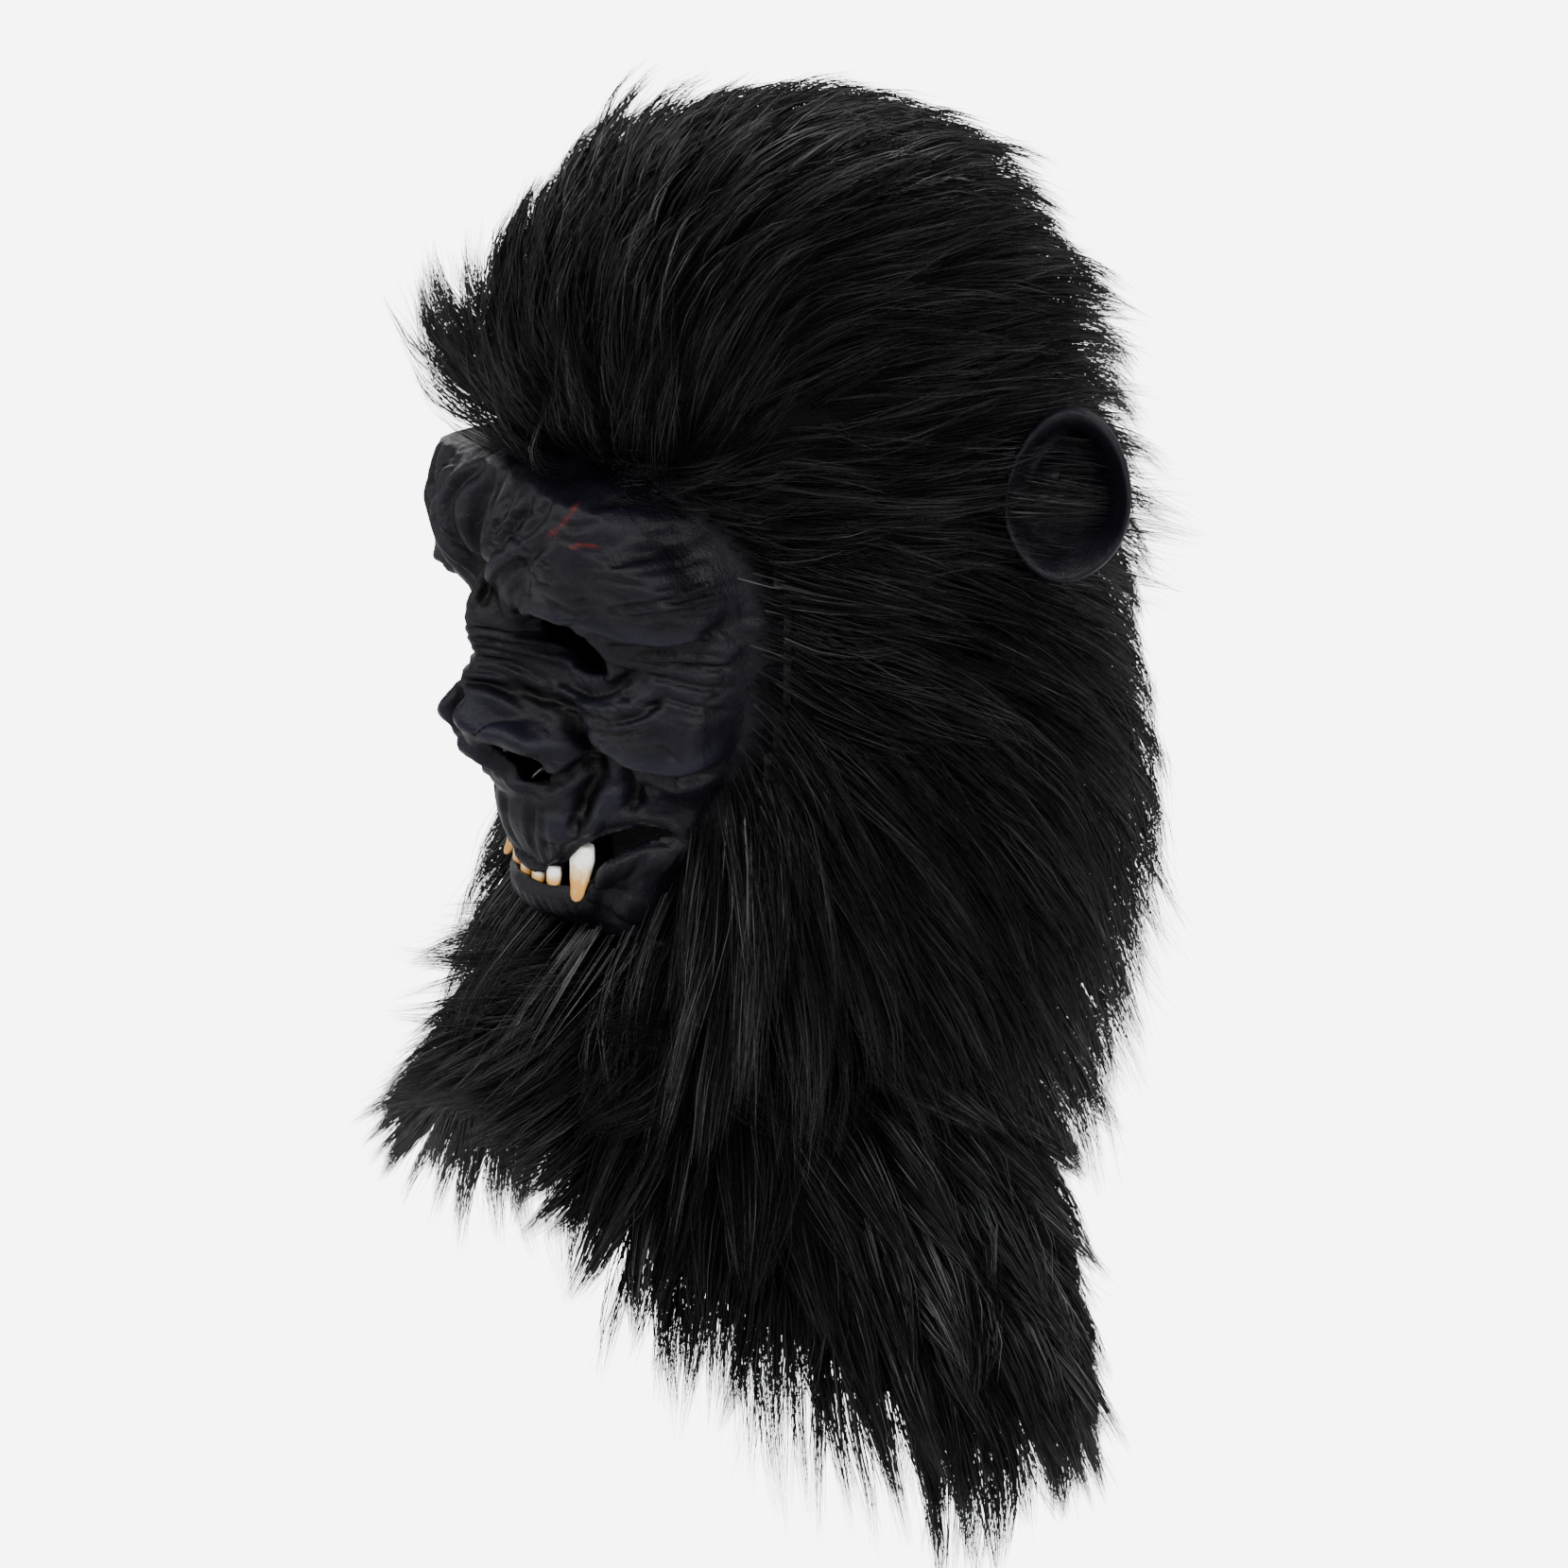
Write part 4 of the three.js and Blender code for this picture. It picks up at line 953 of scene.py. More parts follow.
def make_ears(material):
    for side, node in ((1, "ear_left"), (-1, "ear_right")):
        low, high = box_of(node)
        facing = np.array([side * math.sin(EAR_FACING), -math.cos(EAR_FACING), 0.0])
        up = unit(np.array([0, 0.08, 1.0]))
        across = unit(np.cross(up, facing))
        width, height = EAR_WIDTH, high[2] - low[2]
        middle = np.array([side * (max(abs(low[0]), abs(high[0])) - width / 2 * abs(across[0]) - 1), 0, 0])
        middle[1] = (low[1] + high[1]) / 2 + 2
        middle[2] = (low[2] + high[2]) / 2
        sides, rings = 96, 40
        far = np.linspace(0, 1, rings)[:, None] ** 0.9
        a = np.linspace(0, 2 * math.pi, sides, endpoint=False)[None, :]
        narrow = 1 - 0.12 * np.sin(a) + 0 * far

        def surface(column, wall):
            depth = along(EAR_ROWS, "far", column, far + 0 * a) * width + wall
            inner_fold = bell(far, 0.55, 0.12) * smooth((np.cos(a - 2.9) - 0.1) / 0.8)
            depth = depth + 4.5 * inner_fold
            u = far * width / 2 * np.cos(a) * narrow
            v = far * height / 2 * np.sin(a)
            lobe = 1 + 0.06 * bell(a, 1.5 * math.pi, 0.5)
            p = middle + across * u[..., None] + up * (v * lobe)[..., None] + facing * depth[..., None]
            return p + facing * (noise(p, 9.0, 2, 14) * 0.35)[..., None]

        front, back = surface("front", 0.0), surface("back", -1.0)
        points = np.concatenate([front.reshape(-1, 3), back[::-1].reshape(-1, 3)])
        faces = grid_faces(2 * rings, sides, closed=True).reshape(-1, 4)
        root = np.array([side * STEM_ROOT[0], STEM_ROOT[1], middle[2]])
        stem = middle + facing * (-0.25 * width)
        way = unit(stem - root)
        e1 = unit(np.cross(way, up))
        e2 = np.cross(way, e1)
        ring = np.linspace(0, 2 * math.pi, 24, endpoint=False)[None, :]
        t = np.linspace(0, 1, 9)[:, None]
        radius = mix(*STEM_RADII, t)
        tube = (
            root
            + (stem - root) * t[..., None]
            + e1 * (radius * np.cos(ring))[..., None]
            + e2 * (radius * np.sin(ring))[..., None]
        )
        tube_faces = grid_faces(9, 24, closed=True).reshape(-1, 4)[:, ::-1] + len(points)
        points = np.concatenate([points, tube.reshape(-1, 3)])
        # One even value for the ears on the latex's painted crease shade and ridge highlight ramp, a little
        # over the middle.
        relief_shade = np.full(len(points), 0.55)
        floats = {"relief_shade": relief_shade, "scratch": 0 * relief_shade}
        obj = mesh_object(node + "_skin", points, [faces, tube_faces], material, floats=floats)
        recalculate_outside(obj)
        place(obj, "latex", node)


def recalculate_outside(obj):
    work = bmesh.new()
    work.from_mesh(obj.data)
    bmesh.ops.remove_doubles(work, verts=work.verts, dist=1e-6)
    bmesh.ops.recalc_face_normals(work, faces=work.faces)
    work.to_mesh(obj.data)
    work.free()
    obj.data.polygons.foreach_set("use_smooth", np.full(len(obj.data.polygons), True))


# Backing cloth and underfur


def ring_wall(point, field, shares, columns, inner_height, outer_height, keep=None):
    """A closed wall round the head between two heights over a surface of (turn, share)."""
    turn, share = np.meshgrid(
        np.linspace(0, 2 * math.pi, columns, endpoint=False), np.asarray(shares, float), indexing="xy"
    )
    base = point(turn, share)
    normal = field_normal(field, base)
    low = inner_height(turn, -base[..., 2]) if callable(inner_height) else inner_height
    high = outer_height(turn, -base[..., 2]) if callable(outer_height) else outer_height
    outer = base + normal * (high + 0 * turn)[..., None]
    inner = base + normal * (low + 0 * turn)[..., None]
    faces = grid_faces(len(shares), columns, closed=True).reshape(-1, 4)
    if keep is not None:
        stays = keep(turn, -base[..., 2]).ravel()
        faces = faces[stays[faces].all(axis=-1)]
    points, quads, _ = shell(outer.reshape(-1, 3), inner.reshape(-1, 3), faces)
    return points, quads


def hood_shares(rows):
    return np.concatenate([[0.004], np.linspace(0.02, 1, rows)])


def outside_opening(turn, drop):
    return edge_room(turn, drop) < 0.5


def clear_of_opening(turn, drop):
    return edge_room(turn, drop) < -2.5


def make_cloth(material):
    """Both backings, which the real mask has sewn from cut panels; here each is one closed wall round the
    head.
    """
    points, quads = ring_wall(hood_point, hood_field, hood_shares(90), 160, 0.0, CLOTH, outside_opening)
    hood = mesh_object("hood_backing", points, quads, material)
    points, quads = ring_wall(bib_point, bib_field, np.linspace(0, 1, 40), 160, 0.0, CLOTH)
    bib = mesh_object("bib_backing", points, quads, material)
    place(hood, "cloth", "hood_cloth")
    place(bib, "cloth", "bib_cloth")


def make_underfur(style, material):
    mass = style.pile_mass

    def hood_height(turn, drop):
        return CLOTH + GAP + mix(0.35, 0.66, below_brow(drop)) * pile_at(turn, drop, mass)

    def bib_height(turn, drop):
        return CLOTH + GAP + 0.75 * bib_pile((drop - seam_drop(turn)) / (hem_drop(turn) - seam_drop(turn)))

    points, quads = ring_wall(
        hood_point, hood_field, hood_shares(96), 240, CLOTH + GAP, hood_height, clear_of_opening
    )
    hood = mesh_object("hood_underfur", points, quads, material)
    shares = np.linspace(0.01, 0.985, 40)
    points, quads = ring_wall(bib_point, bib_field, shares, 140, CLOTH + GAP, bib_height)
    bib = mesh_object("bib_underfur", points, quads, material)
    place(hood, "fur")
    place(bib, "fur")


# Fur

# How steeply the hair lies: degrees above level, at each share of JAW_DROP below the crown
LAY_ROWS = {
    "down": (-0.3, 0.2, 0.34, 0.47, 0.57, 0.68, 0.81, 0.95, 1.1),
    "rise": (4.0, 7.0, 0.0, -12.0, -25.0, -38.0, -56.0, -72.0, -84.0),
}


def fur_flow(p):
    """The way the hair is combed: up and back over the forehead, level past the ears, then down."""
    down = -p[..., 2] / JAW_DROP
    y = p[..., 1]
    rise = along(LAY_ROWS, "down", "rise", down)
    forehead = smooth((-y - 10) / 85) * smooth((0.36 - down) / 0.12)
    rise = rise + 58 * forehead
    beard = smooth((-y - 5) / 60) * smooth((down - 0.55) / 0.2)
    rise = np.maximum(rise - 22 * beard, -88)
    rise = rise - 12 * smooth((y - 40) / 60) * smooth((down + 0.1) / 0.3)
    swirl = noise(p, 46.0, 2, 31)
    rise = (rise + 9 * swirl) * DEGREE
    sideways = 0.10 * noise(p, 60.0, 2, 37)
    return unit(np.stack([sideways, np.cos(rise), np.sin(rise)], axis=-1))


def bib_flow(p):
    turn = np.arctan2(p[..., 0], -p[..., 1])
    swirl = noise(p, 50.0, 2, 43)
    aside = 0.22 + 0.1 * swirl
    waver = 0.12 * noise(p, 38.0, 2, 47)
    back = np.stack([np.cos(turn), np.sin(turn), 0 * turn], axis=-1) * waver[..., None]
    out = np.stack([np.sin(turn) * aside, -np.cos(turn) * aside, -1 + 0 * turn], axis=-1)
    return unit(out + back)


def scatter(point, spacing, share_range, rng):
    """Places (turn, share) spread evenly over a surface, about spacing apart."""
    low, high = share_range
    turn, share = np.meshgrid(np.linspace(0, 2 * math.pi, 181), np.linspace(low, high, 91))
    p = point(turn, share)
    area = np.linalg.norm(np.cross(p[1:, :-1] - p[:-1, :-1], p[:-1, 1:] - p[:-1, :-1]), axis=-1)
    weight = area.ravel() / area.sum()
    count = int(area.sum() / spacing**2)
    cell = rng.choice(len(weight), size=count * 3, p=weight)
    i, j = np.unravel_index(cell, area.shape)
    t = turn[i, j] + rng.uniform(0, 2 * math.pi / 180, len(cell))
    s = share[i, j] + rng.uniform(0, (high - low) / 90, len(cell))
    where = point(t, s)
    taken = []
    # keeps places that are not too near an earlier one
    grid = {}
    size = spacing * 0.72
    for k, q in enumerate(where):
        key = tuple(np.floor(q / size).astype(int))
        near = False
        for dx in (-1, 0, 1):
            for dy in (-1, 0, 1):
                for dz in (-1, 0, 1):
                    for m in grid.get((key[0] + dx, key[1] + dy, key[2] + dz), ()):
                        if np.dot(where[m] - q, where[m] - q) < size * size:
                            near = True
                            break
        if near:
            continue
        grid.setdefault(key, []).append(k)
        taken.append(k)
        if len(taken) >= count:
            break
    return t[taken], s[taken]


def comb(field, flow, roots, length, start_lift, end_lift, hug, steps, rng):
    """Guide hairs of (steps + 1) points each, which leave their roots and follow the flow."""
    p = roots.copy()
    paths = [p]
    jitter = rng.normal(0, 1, (len(roots), 3))
    for k in range(steps):
        t = k / (steps - 1)
        normal = field_normal(field, p)
        way = flow(p)
        into = (way * normal).sum(axis=-1, keepdims=True)
        way = way - normal * into * np.where(into < 0, 1.0, hug)
        way = unit(unit(way) + 0.13 * jitter)
        lift = mix(start_lift, end_lift, t)[:, None]
        way = unit(way + normal * lift)
        p = p + way * (length / steps)[:, None]
        paths.append(p)
    return np.stack(paths, axis=1)


def gather(paths, spacing, pull, rng):
    """Draws guide hairs together into larger locks: each bends to the nearest lock's middle."""
    roots = paths[:, 0]
    chosen = rng.permutation(len(paths))[: max(8, int(len(paths) * spacing))]
    tree = kdtree.KDTree(len(chosen))
    for n, k in enumerate(chosen):
        tree.insert(Vector(paths[k, 2]), n)
    tree.balance()
    nearest = np.array([chosen[tree.find(Vector(q))[1]] for q in paths[:, 2]])
    leader = paths[nearest]
    t = np.linspace(0, 1, paths.shape[1])[None, :, None]
    apart = (roots - leader[:, 0])[:, None, :]
    goal = leader + apart * (1 - 0.9 * t**1.4)
    return paths + (goal - paths) * (pull * t)


STRAND_POINTS = 4  # points along each strand


def strand_tree(strands, width):
    """Geometry nodes that grow a tuft of flat, tapering strands along each guide hair."""
    tree = bpy.data.node_groups.new("fur tufts", "GeometryNodeTree")
    face = tree.interface
    face.new_socket("Guides", in_out="INPUT", socket_type="NodeSocketGeometry")
    for name, kind, value in (
        ("Strands", "NodeSocketInt", strands),
        ("Width", "NodeSocketFloat", width),
        ("Gather", "NodeSocketFloat", 0.86),
        ("Shortest", "NodeSocketFloat", 0.62),
        ("Frizz", "NodeSocketFloat", 0.0016),
        ("Seed", "NodeSocketInt", 7),
    ):
        face.new_socket(name, in_out="INPUT", socket_type=kind).default_value = value
    face.new_socket("Material", in_out="INPUT", socket_type="NodeSocketMaterial")
    face.new_socket("Fur", in_out="OUTPUT", socket_type="NodeSocketGeometry")
    enter = tree.nodes.new("NodeGroupInput")
    leave = tree.nodes.new("NodeGroupOutput")

    def node(kind, inputs=None, **settings):
        return add(tree, kind, inputs, **settings)

    def named(name, kind="FLOAT"):
        return node("GeometryNodeInputNamedAttribute", {"Name": name}, data_type=kind).outputs["Attribute"]

    def maths(operation, *values):
        return node("ShaderNodeMath", dict(enumerate(values)), operation=operation).outputs[0]

    def chance(kind, seed_step, low, high):
        seed = maths("ADD", enter.outputs["Seed"], float(seed_step))
        value = node("FunctionNodeRandomValue", {"Seed": seed}, data_type=kind)
        vector = kind == "FLOAT_VECTOR"
        value.inputs[0 if vector else 2].default_value = low
        value.inputs[1 if vector else 3].default_value = high
        result = value.outputs[0 if vector else 1]
        spread = node("GeometryNodeFieldOnDomain", domain="CURVE", data_type=kind)
        tree.links.new(result, spread.inputs[0])
        return spread.outputs[0]

    def ranged(value, low, high):
        return node("ShaderNodeMapRange", {"Value": value, "To Min": low, "To Max": high}).outputs[0]

    def vectors(operation, *values):
        n = node("ShaderNodeVectorMath", operation=operation)
        for i, value in enumerate(values):
            socket = n.inputs["Scale"] if operation == "SCALE" and i == 1 else n.inputs[i]
            if isinstance(value, bpy.types.NodeSocket):
                tree.links.new(value, socket)
            else:
                socket.default_value = value
        return n.outputs[0]

    curves = node("GeometryNodeMeshToCurve", {"Mesh": enter.outputs["Guides"]}).outputs["Curve"]
    copies = node(
        "GeometryNodeDuplicateElements",
        {"Geometry": curves, "Amount": enter.outputs["Strands"]},
        domain="SPLINE",
    ).outputs["Geometry"]
    t = node("GeometryNodeSplineParameter").outputs["Factor"]
    lay, aside, ahead, bunch = (
        named("lay", "FLOAT_VECTOR"),
        named("aside", "FLOAT_VECTOR"),
        named("ahead", "FLOAT_VECTOR"),
        named("bunch"),
    )
    scattered = chance("FLOAT_VECTOR", 1, (-1.0, -1.0, -1.0), (1.0, 1.0, 1.0))
    parts = node("ShaderNodeSeparateXYZ", {0: scattered}).outputs
    offset = vectors("ADD", vectors("SCALE", aside, parts[0]), vectors("SCALE", ahead, parts[1]))
    offset = vectors("ADD", offset, vectors("SCALE", lay, maths("MULTIPLY", parts[2], 0.55)))
    closing = maths("SUBTRACT", 1.0, maths("MULTIPLY", enter.outputs["Gather"], maths("POWER", t, 1.25)))
    offset = vectors("SCALE", offset, maths("MULTIPLY", bunch, closing))
    wild = chance("FLOAT_VECTOR", 2, (-1.0, -1.0, -1.0), (1.0, 1.0, 1.0))
    frizz = maths("MULTIPLY", enter.outputs["Frizz"], maths("POWER", t, 1.5))
    loose = maths("POWER", chance("FLOAT", 3, 0.0, 1.0), 9.0)
    frizz = maths("MULTIPLY", frizz, maths("MULTIPLY_ADD", loose, 5.0, 1.0))
    offset = vectors("ADD", offset, vectors("SCALE", wild, frizz))
    moved = node("GeometryNodeSetPosition", {"Geometry": copies, "Offset": offset}).outputs["Geometry"]
    span = chance("FLOAT", 4, 0.0, 1.0)
    end = ranged(span, enter.outputs["Shortest"], 1.0)
    trimmed = node("GeometryNodeTrimCurve", {"Curve": moved, "End": end}, mode="FACTOR").outputs["Curve"]
    strand = {"Curve": trimmed, "Count": STRAND_POINTS}
    even = node("GeometryNodeResampleCurve", strand, mode="COUNT").outputs["Curve"]
    taper = maths("POWER", maths("SUBTRACT", 1.02, t), 0.6)
    size = maths("MULTIPLY", taper, ranged(span, 1.2, 0.8))
    sized = node("GeometryNodeSetCurveRadius", {"Curve": even, "Radius": size}).outputs["Curve"]
    roll = chance("FLOAT", 5, -0.9, 0.9)
    upright = vectors("SCALE", lay, maths("COSINE", roll))
    facing = vectors("ADD", upright, vectors("SCALE", aside, maths("SINE", roll)))
    turning = {"Curve": sized, "Normal": facing}
    turned = node("GeometryNodeSetCurveNormal", turning, mode="FREE").outputs["Curve"]
    # Each strand is lighter or darker at random and lighter towards the tip: the few light strands are painted
    # glints and their darker roots painted shade.
    rare = maths("POWER", chance("FLOAT", 6, 0.0, 1.0), 3.0)
    tone_and_glint = maths("MULTIPLY", rare, maths("MULTIPLY_ADD", t, 0.75, 0.25))
    toned = node(
        "GeometryNodeStoreNamedAttribute",
        {"Geometry": turned, "Name": "tone_and_glint", "Value": tone_and_glint},
        data_type="FLOAT",
        domain="POINT",
    ).outputs["Geometry"]
    half = maths("MULTIPLY", enter.outputs["Width"], 0.5)
    start = node("ShaderNodeCombineXYZ", {"X": maths("MULTIPLY", half, -1.0)}).outputs[0]
    stop = node("ShaderNodeCombineXYZ", {"X": half}).outputs[0]
    profile = node("GeometryNodeCurvePrimitiveLine", {"Start": start, "End": stop}).outputs["Curve"]
    ribbon = node("GeometryNodeCurveToMesh", {"Curve": toned, "Profile Curve": profile})
    if "Scale" in ribbon.inputs:
        tree.links.new(size, ribbon.inputs["Scale"])
    soft = node("GeometryNodeSetShadeSmooth", {"Geometry": ribbon.outputs["Mesh"]}).outputs["Geometry"]
    for name in ("lay", "aside", "ahead", "bunch"):
        soft = node("GeometryNodeRemoveAttribute", {"Geometry": soft, "Name": name}).outputs["Geometry"]
    real = node("GeometryNodeRealizeInstances", {"Geometry": soft}).outputs["Geometry"]
    painted = node("GeometryNodeSetMaterial", {"Geometry": real, "Material": enter.outputs["Material"]})
    tree.links.new(painted.outputs["Geometry"], leave.inputs["Fur"])
    return tree


def grow_fur(name, paths, normals, flows, bunch, tree, settings, material):
    """Turns guide hairs into one plain mesh of strands through the tufts' geometry nodes."""
    count, points = paths.shape[:2]
    mesh = bpy.data.meshes.new(name + "_guides")
    numbers = np.arange(count * points).reshape(count, points)
    edges = np.stack([numbers[:, :-1], numbers[:, 1:]], axis=-1).reshape(-1, 2)
    mesh.vertices.add(count * points)
    mesh.vertices.foreach_set("co", (paths.reshape(-1, 3) * MM).astype(np.float32).ravel())
    mesh.edges.add(len(edges))
    mesh.edges.foreach_set("vertices", edges.astype(np.int32).ravel())
    mesh.update()
    aside = unit(np.cross(flows, normals))
    ahead = unit(np.cross(normals, aside))
    for attribute, values in (("lay", normals), ("aside", aside), ("ahead", ahead)):
        values = np.repeat(values[:, None, :], points, axis=1).astype(np.float32)
        mesh.attributes.new(attribute, "FLOAT_VECTOR", "POINT").data.foreach_set("vector", values.ravel())
    values = np.repeat(bunch[:, None] * MM, points, axis=1).astype(np.float32)
    mesh.attributes.new("bunch", "FLOAT", "POINT").data.foreach_set("value", values.ravel())
    guides = bpy.data.objects.new(name + "_guides", mesh)
    bpy.context.scene.collection.objects.link(guides)
    modifier = guides.modifiers.new("tufts", "NODES")
    modifier.node_group = tree
    sockets = {item.name: item.identifier for item in tree.interface.items_tree if item.in_out == "INPUT"}
    for key, value in settings.items():
        modifier[sockets[key]] = value
    modifier[sockets["Material"]] = material
    bpy.context.view_layer.update()
    graph = bpy.context.evaluated_depsgraph_get()
    grown = bpy.data.meshes.new_from_object(guides.evaluated_get(graph))
    grown.name = name
    guides.modifiers.clear()
    bpy.data.objects.remove(guides)
    if not len(grown.polygons):
        raise RuntimeError(name + " grew no strands")
    places = np.empty(3 * len(grown.vertices), np.float32)
    grown.vertices.foreach_get("co", places)
    places = hair_limit(places.reshape(-1, 3) / MM, STRAND_REACH) * MM
    grown.vertices.foreach_set("co", places.astype(np.float32).ravel())
    grown.materials.clear()
    grown.materials.append(material)
    obj = bpy.data.objects.new(name, grown)
    bpy.context.scene.collection.objects.link(obj)
    print(name, len(grown.polygons) * 2, "triangles")
    return obj


EAR_REAR = (113.0, 70.0, -110.0)  # the middle of the left ear's free rear half
EAR_AHEAD = (-0.57, -0.82, 0.0)  # the way from there to the ear's front, over the head's side
EAR_FREE = 19.0  # no hair has its root so near the ear's free half, in mm
EAR_SOWINGS = 4  # more tufts before the ears, whose front half the pile covers


def ear_room(p, ahead=0.0):
    """Distance from the nearer ear's free rear half, or from a place so many millimetres ahead of it."""
    spot = np.array(EAR_REAR) + np.array(EAR_AHEAD) * ahead
    left, right = (np.linalg.norm(p - spot * (side, 1, 1), axis=-1) for side in (1, -1))
    return np.minimum(left, right)


def hood_sowings(spacing, rng):
    """Places of the hood's tufts: one sowing all over, one beside the face and several before the ears."""

    def beside_face(turn, share):
        return np.abs(edge_room(turn, -hood_point(turn, share)[:, 2]) + 4) < 15

    def before_ear(turn, share):
        return ear_room(hood_point(turn, share), 27.0) < 18

    def sow(shares, wanted):
        turn, share = scatter(hood_point, spacing, shares, rng)
        chosen = wanted(turn, share)
        return turn[chosen], share[chosen]

    sowings = [scatter(hood_point, spacing, (0.0, 1.04), rng), sow((0.3, 1.04), beside_face)]
    sowings += [sow((0.2, 0.6), before_ear) for _ in range(EAR_SOWINGS)]
    return np.concatenate(sowings, axis=1)


def hood_guides(style, rng):
    turn, share = hood_sowings(style.tuft_spacing, rng)
    base = hood_point(turn, share)
    drop = -base[:, 2]
    bare = hair_room(turn, drop)
    on_face = edge_room(turn, drop) > 0
    reach_down = np.where(on_face, JAW_DROP + 6, seam_drop(turn) - 1)
    pile = pile_at(turn, drop, style.pile_mass)
    normal = field_normal(hood_field, base)
    depth = mix(0.32, 0.62, below_brow(drop))
    roots = base + normal * (CLOTH + GAP + depth * pile)[:, None]
    skin, _ = face_forms(turn, drop)
    roots = np.where(on_face[:, None], skin, roots)
    keep = (bare < -0.5) & (drop < reach_down) & (ear_room(roots) > EAR_FREE)
    kept = (v[keep] for v in (turn, base, normal, drop, pile, roots, bare))
    turn, base, normal, drop, pile, roots, bare = kept
    length = style.hair_length / MM * rng.uniform(0.8, 1.15, len(roots))
    at_face = np.exp(bare / 16)
    beside = smooth((around(turn) - 0.35) / 0.5)
    length = length * mix(1.0, 0.72, at_face * beside)
    low = smooth((drop - 150) / 70)
    rear = smooth((around(turn) - 1.5) / 0.9)
    beard = smooth((drop - 200) / 60) * smooth((2.0 - around(turn)) / 0.8)
    length = length * (1 + 0.3 * low + 0.22 * rear * low + 0.15 * beard)
    length = length * mix(0.62, 1.0, smooth((ear_room(roots, 12.0) - 12) / 22))
    fore = smooth((-base[:, 1] - 50) / 35)
    quiff = fore * smooth((drop - 66) / 18) * smooth((124 - drop) / 12)
    start = 0.5 + 0.5 * pile / length + 1.8 * quiff + 0.8 * beard + 0.45 * rear * low
    start = start + 1.7 * bell(ear_room(roots, 30.0), 0, 19)
    start = start + 0.35 * at_face * beside * (1 - quiff) + rng.normal(0, 0.08, len(roots))
    tuft = bell(drop, 122, 22) * bell(around(turn), 2.2, 0.28)
    start = start + 1.4 * tuft
    length = length * (1 + 0.25 * tuft)
    finish = 0.05 + 0.32 * rear * low + 0.2 * beard - 0.2 * (1 - low) + rng.normal(0, 0.06, len(roots))
    finish = finish + 0.8 * tuft + 0.5 * quiff
    paths = comb(hood_field, fur_flow, roots, length, start, finish, 0.72, 6, rng)
    paths = gather(paths, 0.2, 0.6, rng)
    return turn, drop, paths, normal, fur_flow(roots)


FRINGE_ROWS = 4  # rows of tufts along the hem


def bib_guides(style, rng):
    turn, share = scatter(bib_point, style.tuft_spacing, (0.0, 1.0), rng)
    fringe_turn = np.arange(0, 2 * math.pi, style.tuft_spacing * 0.42 / HEM[0])
    rows = [fringe_turn + rng.uniform(-0.02, 0.02, len(fringe_turn)) for _ in range(FRINGE_ROWS)]
    turn = np.concatenate([turn, *rows])
    share = np.concatenate([share, rng.uniform(0.8, 1.0, FRINGE_ROWS * len(fringe_turn))])
    base = bib_point(turn, share)
    normal = field_normal(bib_field, base)
    roots = base + normal * (CLOTH + GAP + 0.6 * bib_pile(share))[:, None]
    length = style.hair_length / MM * rng.uniform(0.75, 1.12, len(roots))
    top = smooth((0.45 - share) / 0.45)
    front = smooth((1.25 - around(turn)) / 0.6)
    start = 0.55 + 0.7 * top + rng.normal(0, 0.08, len(roots))
    finish = 0.06 + 0.25 * top * front + rng.normal(0, 0.06, len(roots))
    over_hem = smooth((share - 0.7) / 0.3)
    side = bell(around(turn), 1.35, 0.6)
    apron = smooth((0.85 - around(turn)) / 0.6)
    length = length * mix(1.0, 0.85 + 0.7 * side - 0.3 * apron, over_hem) * (1 + 0.15 * top)
    start = mix(start, 0.15 + 1.6 * apron, over_hem)
    finish = finish + 1.7 * apron
    paths = comb(bib_field, bib_flow, roots, length, start, finish, 0.9, 6, rng)
    paths = gather(paths, 0.13, 0.95, rng)
    return turn, -base[:, 2], paths, normal, bib_flow(roots)


GUIDE_REACH = 11.5  # how far guide hairs may reach past the solids' box, in mm
STRAND_REACH = 16.0  # and how far any strand may
CROWN_DROP = 70.0  # the hood's fur is one piece above this level
NAPE_TURN = 1.95  # and below it the nape's piece begins at this turn from the face


def hair_limit(points, reach):
    """Pulls hairs that would reach further past the solids' box, in mm, back to that reach."""
    low, high = np.array(CAD_BOX) / MM
    return np.clip(points, low - reach, high + reach)


def grow_regions(style, material, rng, guides, node, seeds, regions):
    """Grows a fur in regions, of which the first stands for the fur's own node."""
    tree = strand_tree(style.strands, style.strand_width)
    turn, drop, paths, normal, flow = guides(style, rng)
    paths = hair_limit(paths, GUIDE_REACH)
    bunch = rng.uniform(0.7, 1.1, len(paths)) * style.tuft_spacing * 0.75
    for i, (name, chosen) in enumerate(regions(turn, drop).items()):
        settings = {"Seed": seeds + 10 * i, "Strands": style.strands}
        hairs = (v[chosen] for v in (paths, normal, flow, bunch))
        obj = grow_fur(name, *hairs, tree, settings, material)
        nodes = () if i else (node,)
        place(obj, "fur", *nodes)


def make_hood_fur(style, material):
    def regions(turn, drop):
        angle = np.arctan2(np.sin(turn), np.cos(turn))
        low = drop >= CROWN_DROP
        return {
            "crown_fur": ~low,
            "left_fur": low & (angle > 0) & (angle < NAPE_TURN),
            "right_fur": low & (angle <= 0) & (angle > -NAPE_TURN),
            "nape_fur": low & (np.abs(angle) >= NAPE_TURN),
        }

    grow_regions(style, material, np.random.default_rng(11), hood_guides, "hood_fur", 100, regions)


def make_bib_fur(style, material):
    def regions(turn, drop):
        front = np.cos(turn) > -0.1
        return {"bib_front_fur": front, "bib_back_fur": ~front}

    grow_regions(style, material, np.random.default_rng(12), bib_guides, "bib_fur", 300, regions)


# Stage


BACKDROP = 7.0  # how brightly the camera sees the floor and the space behind the mask
FLOOR_HALF, FLOOR_LEVEL = 12.0, -1.05
LAMP_AIM = (0, 0, -0.2)


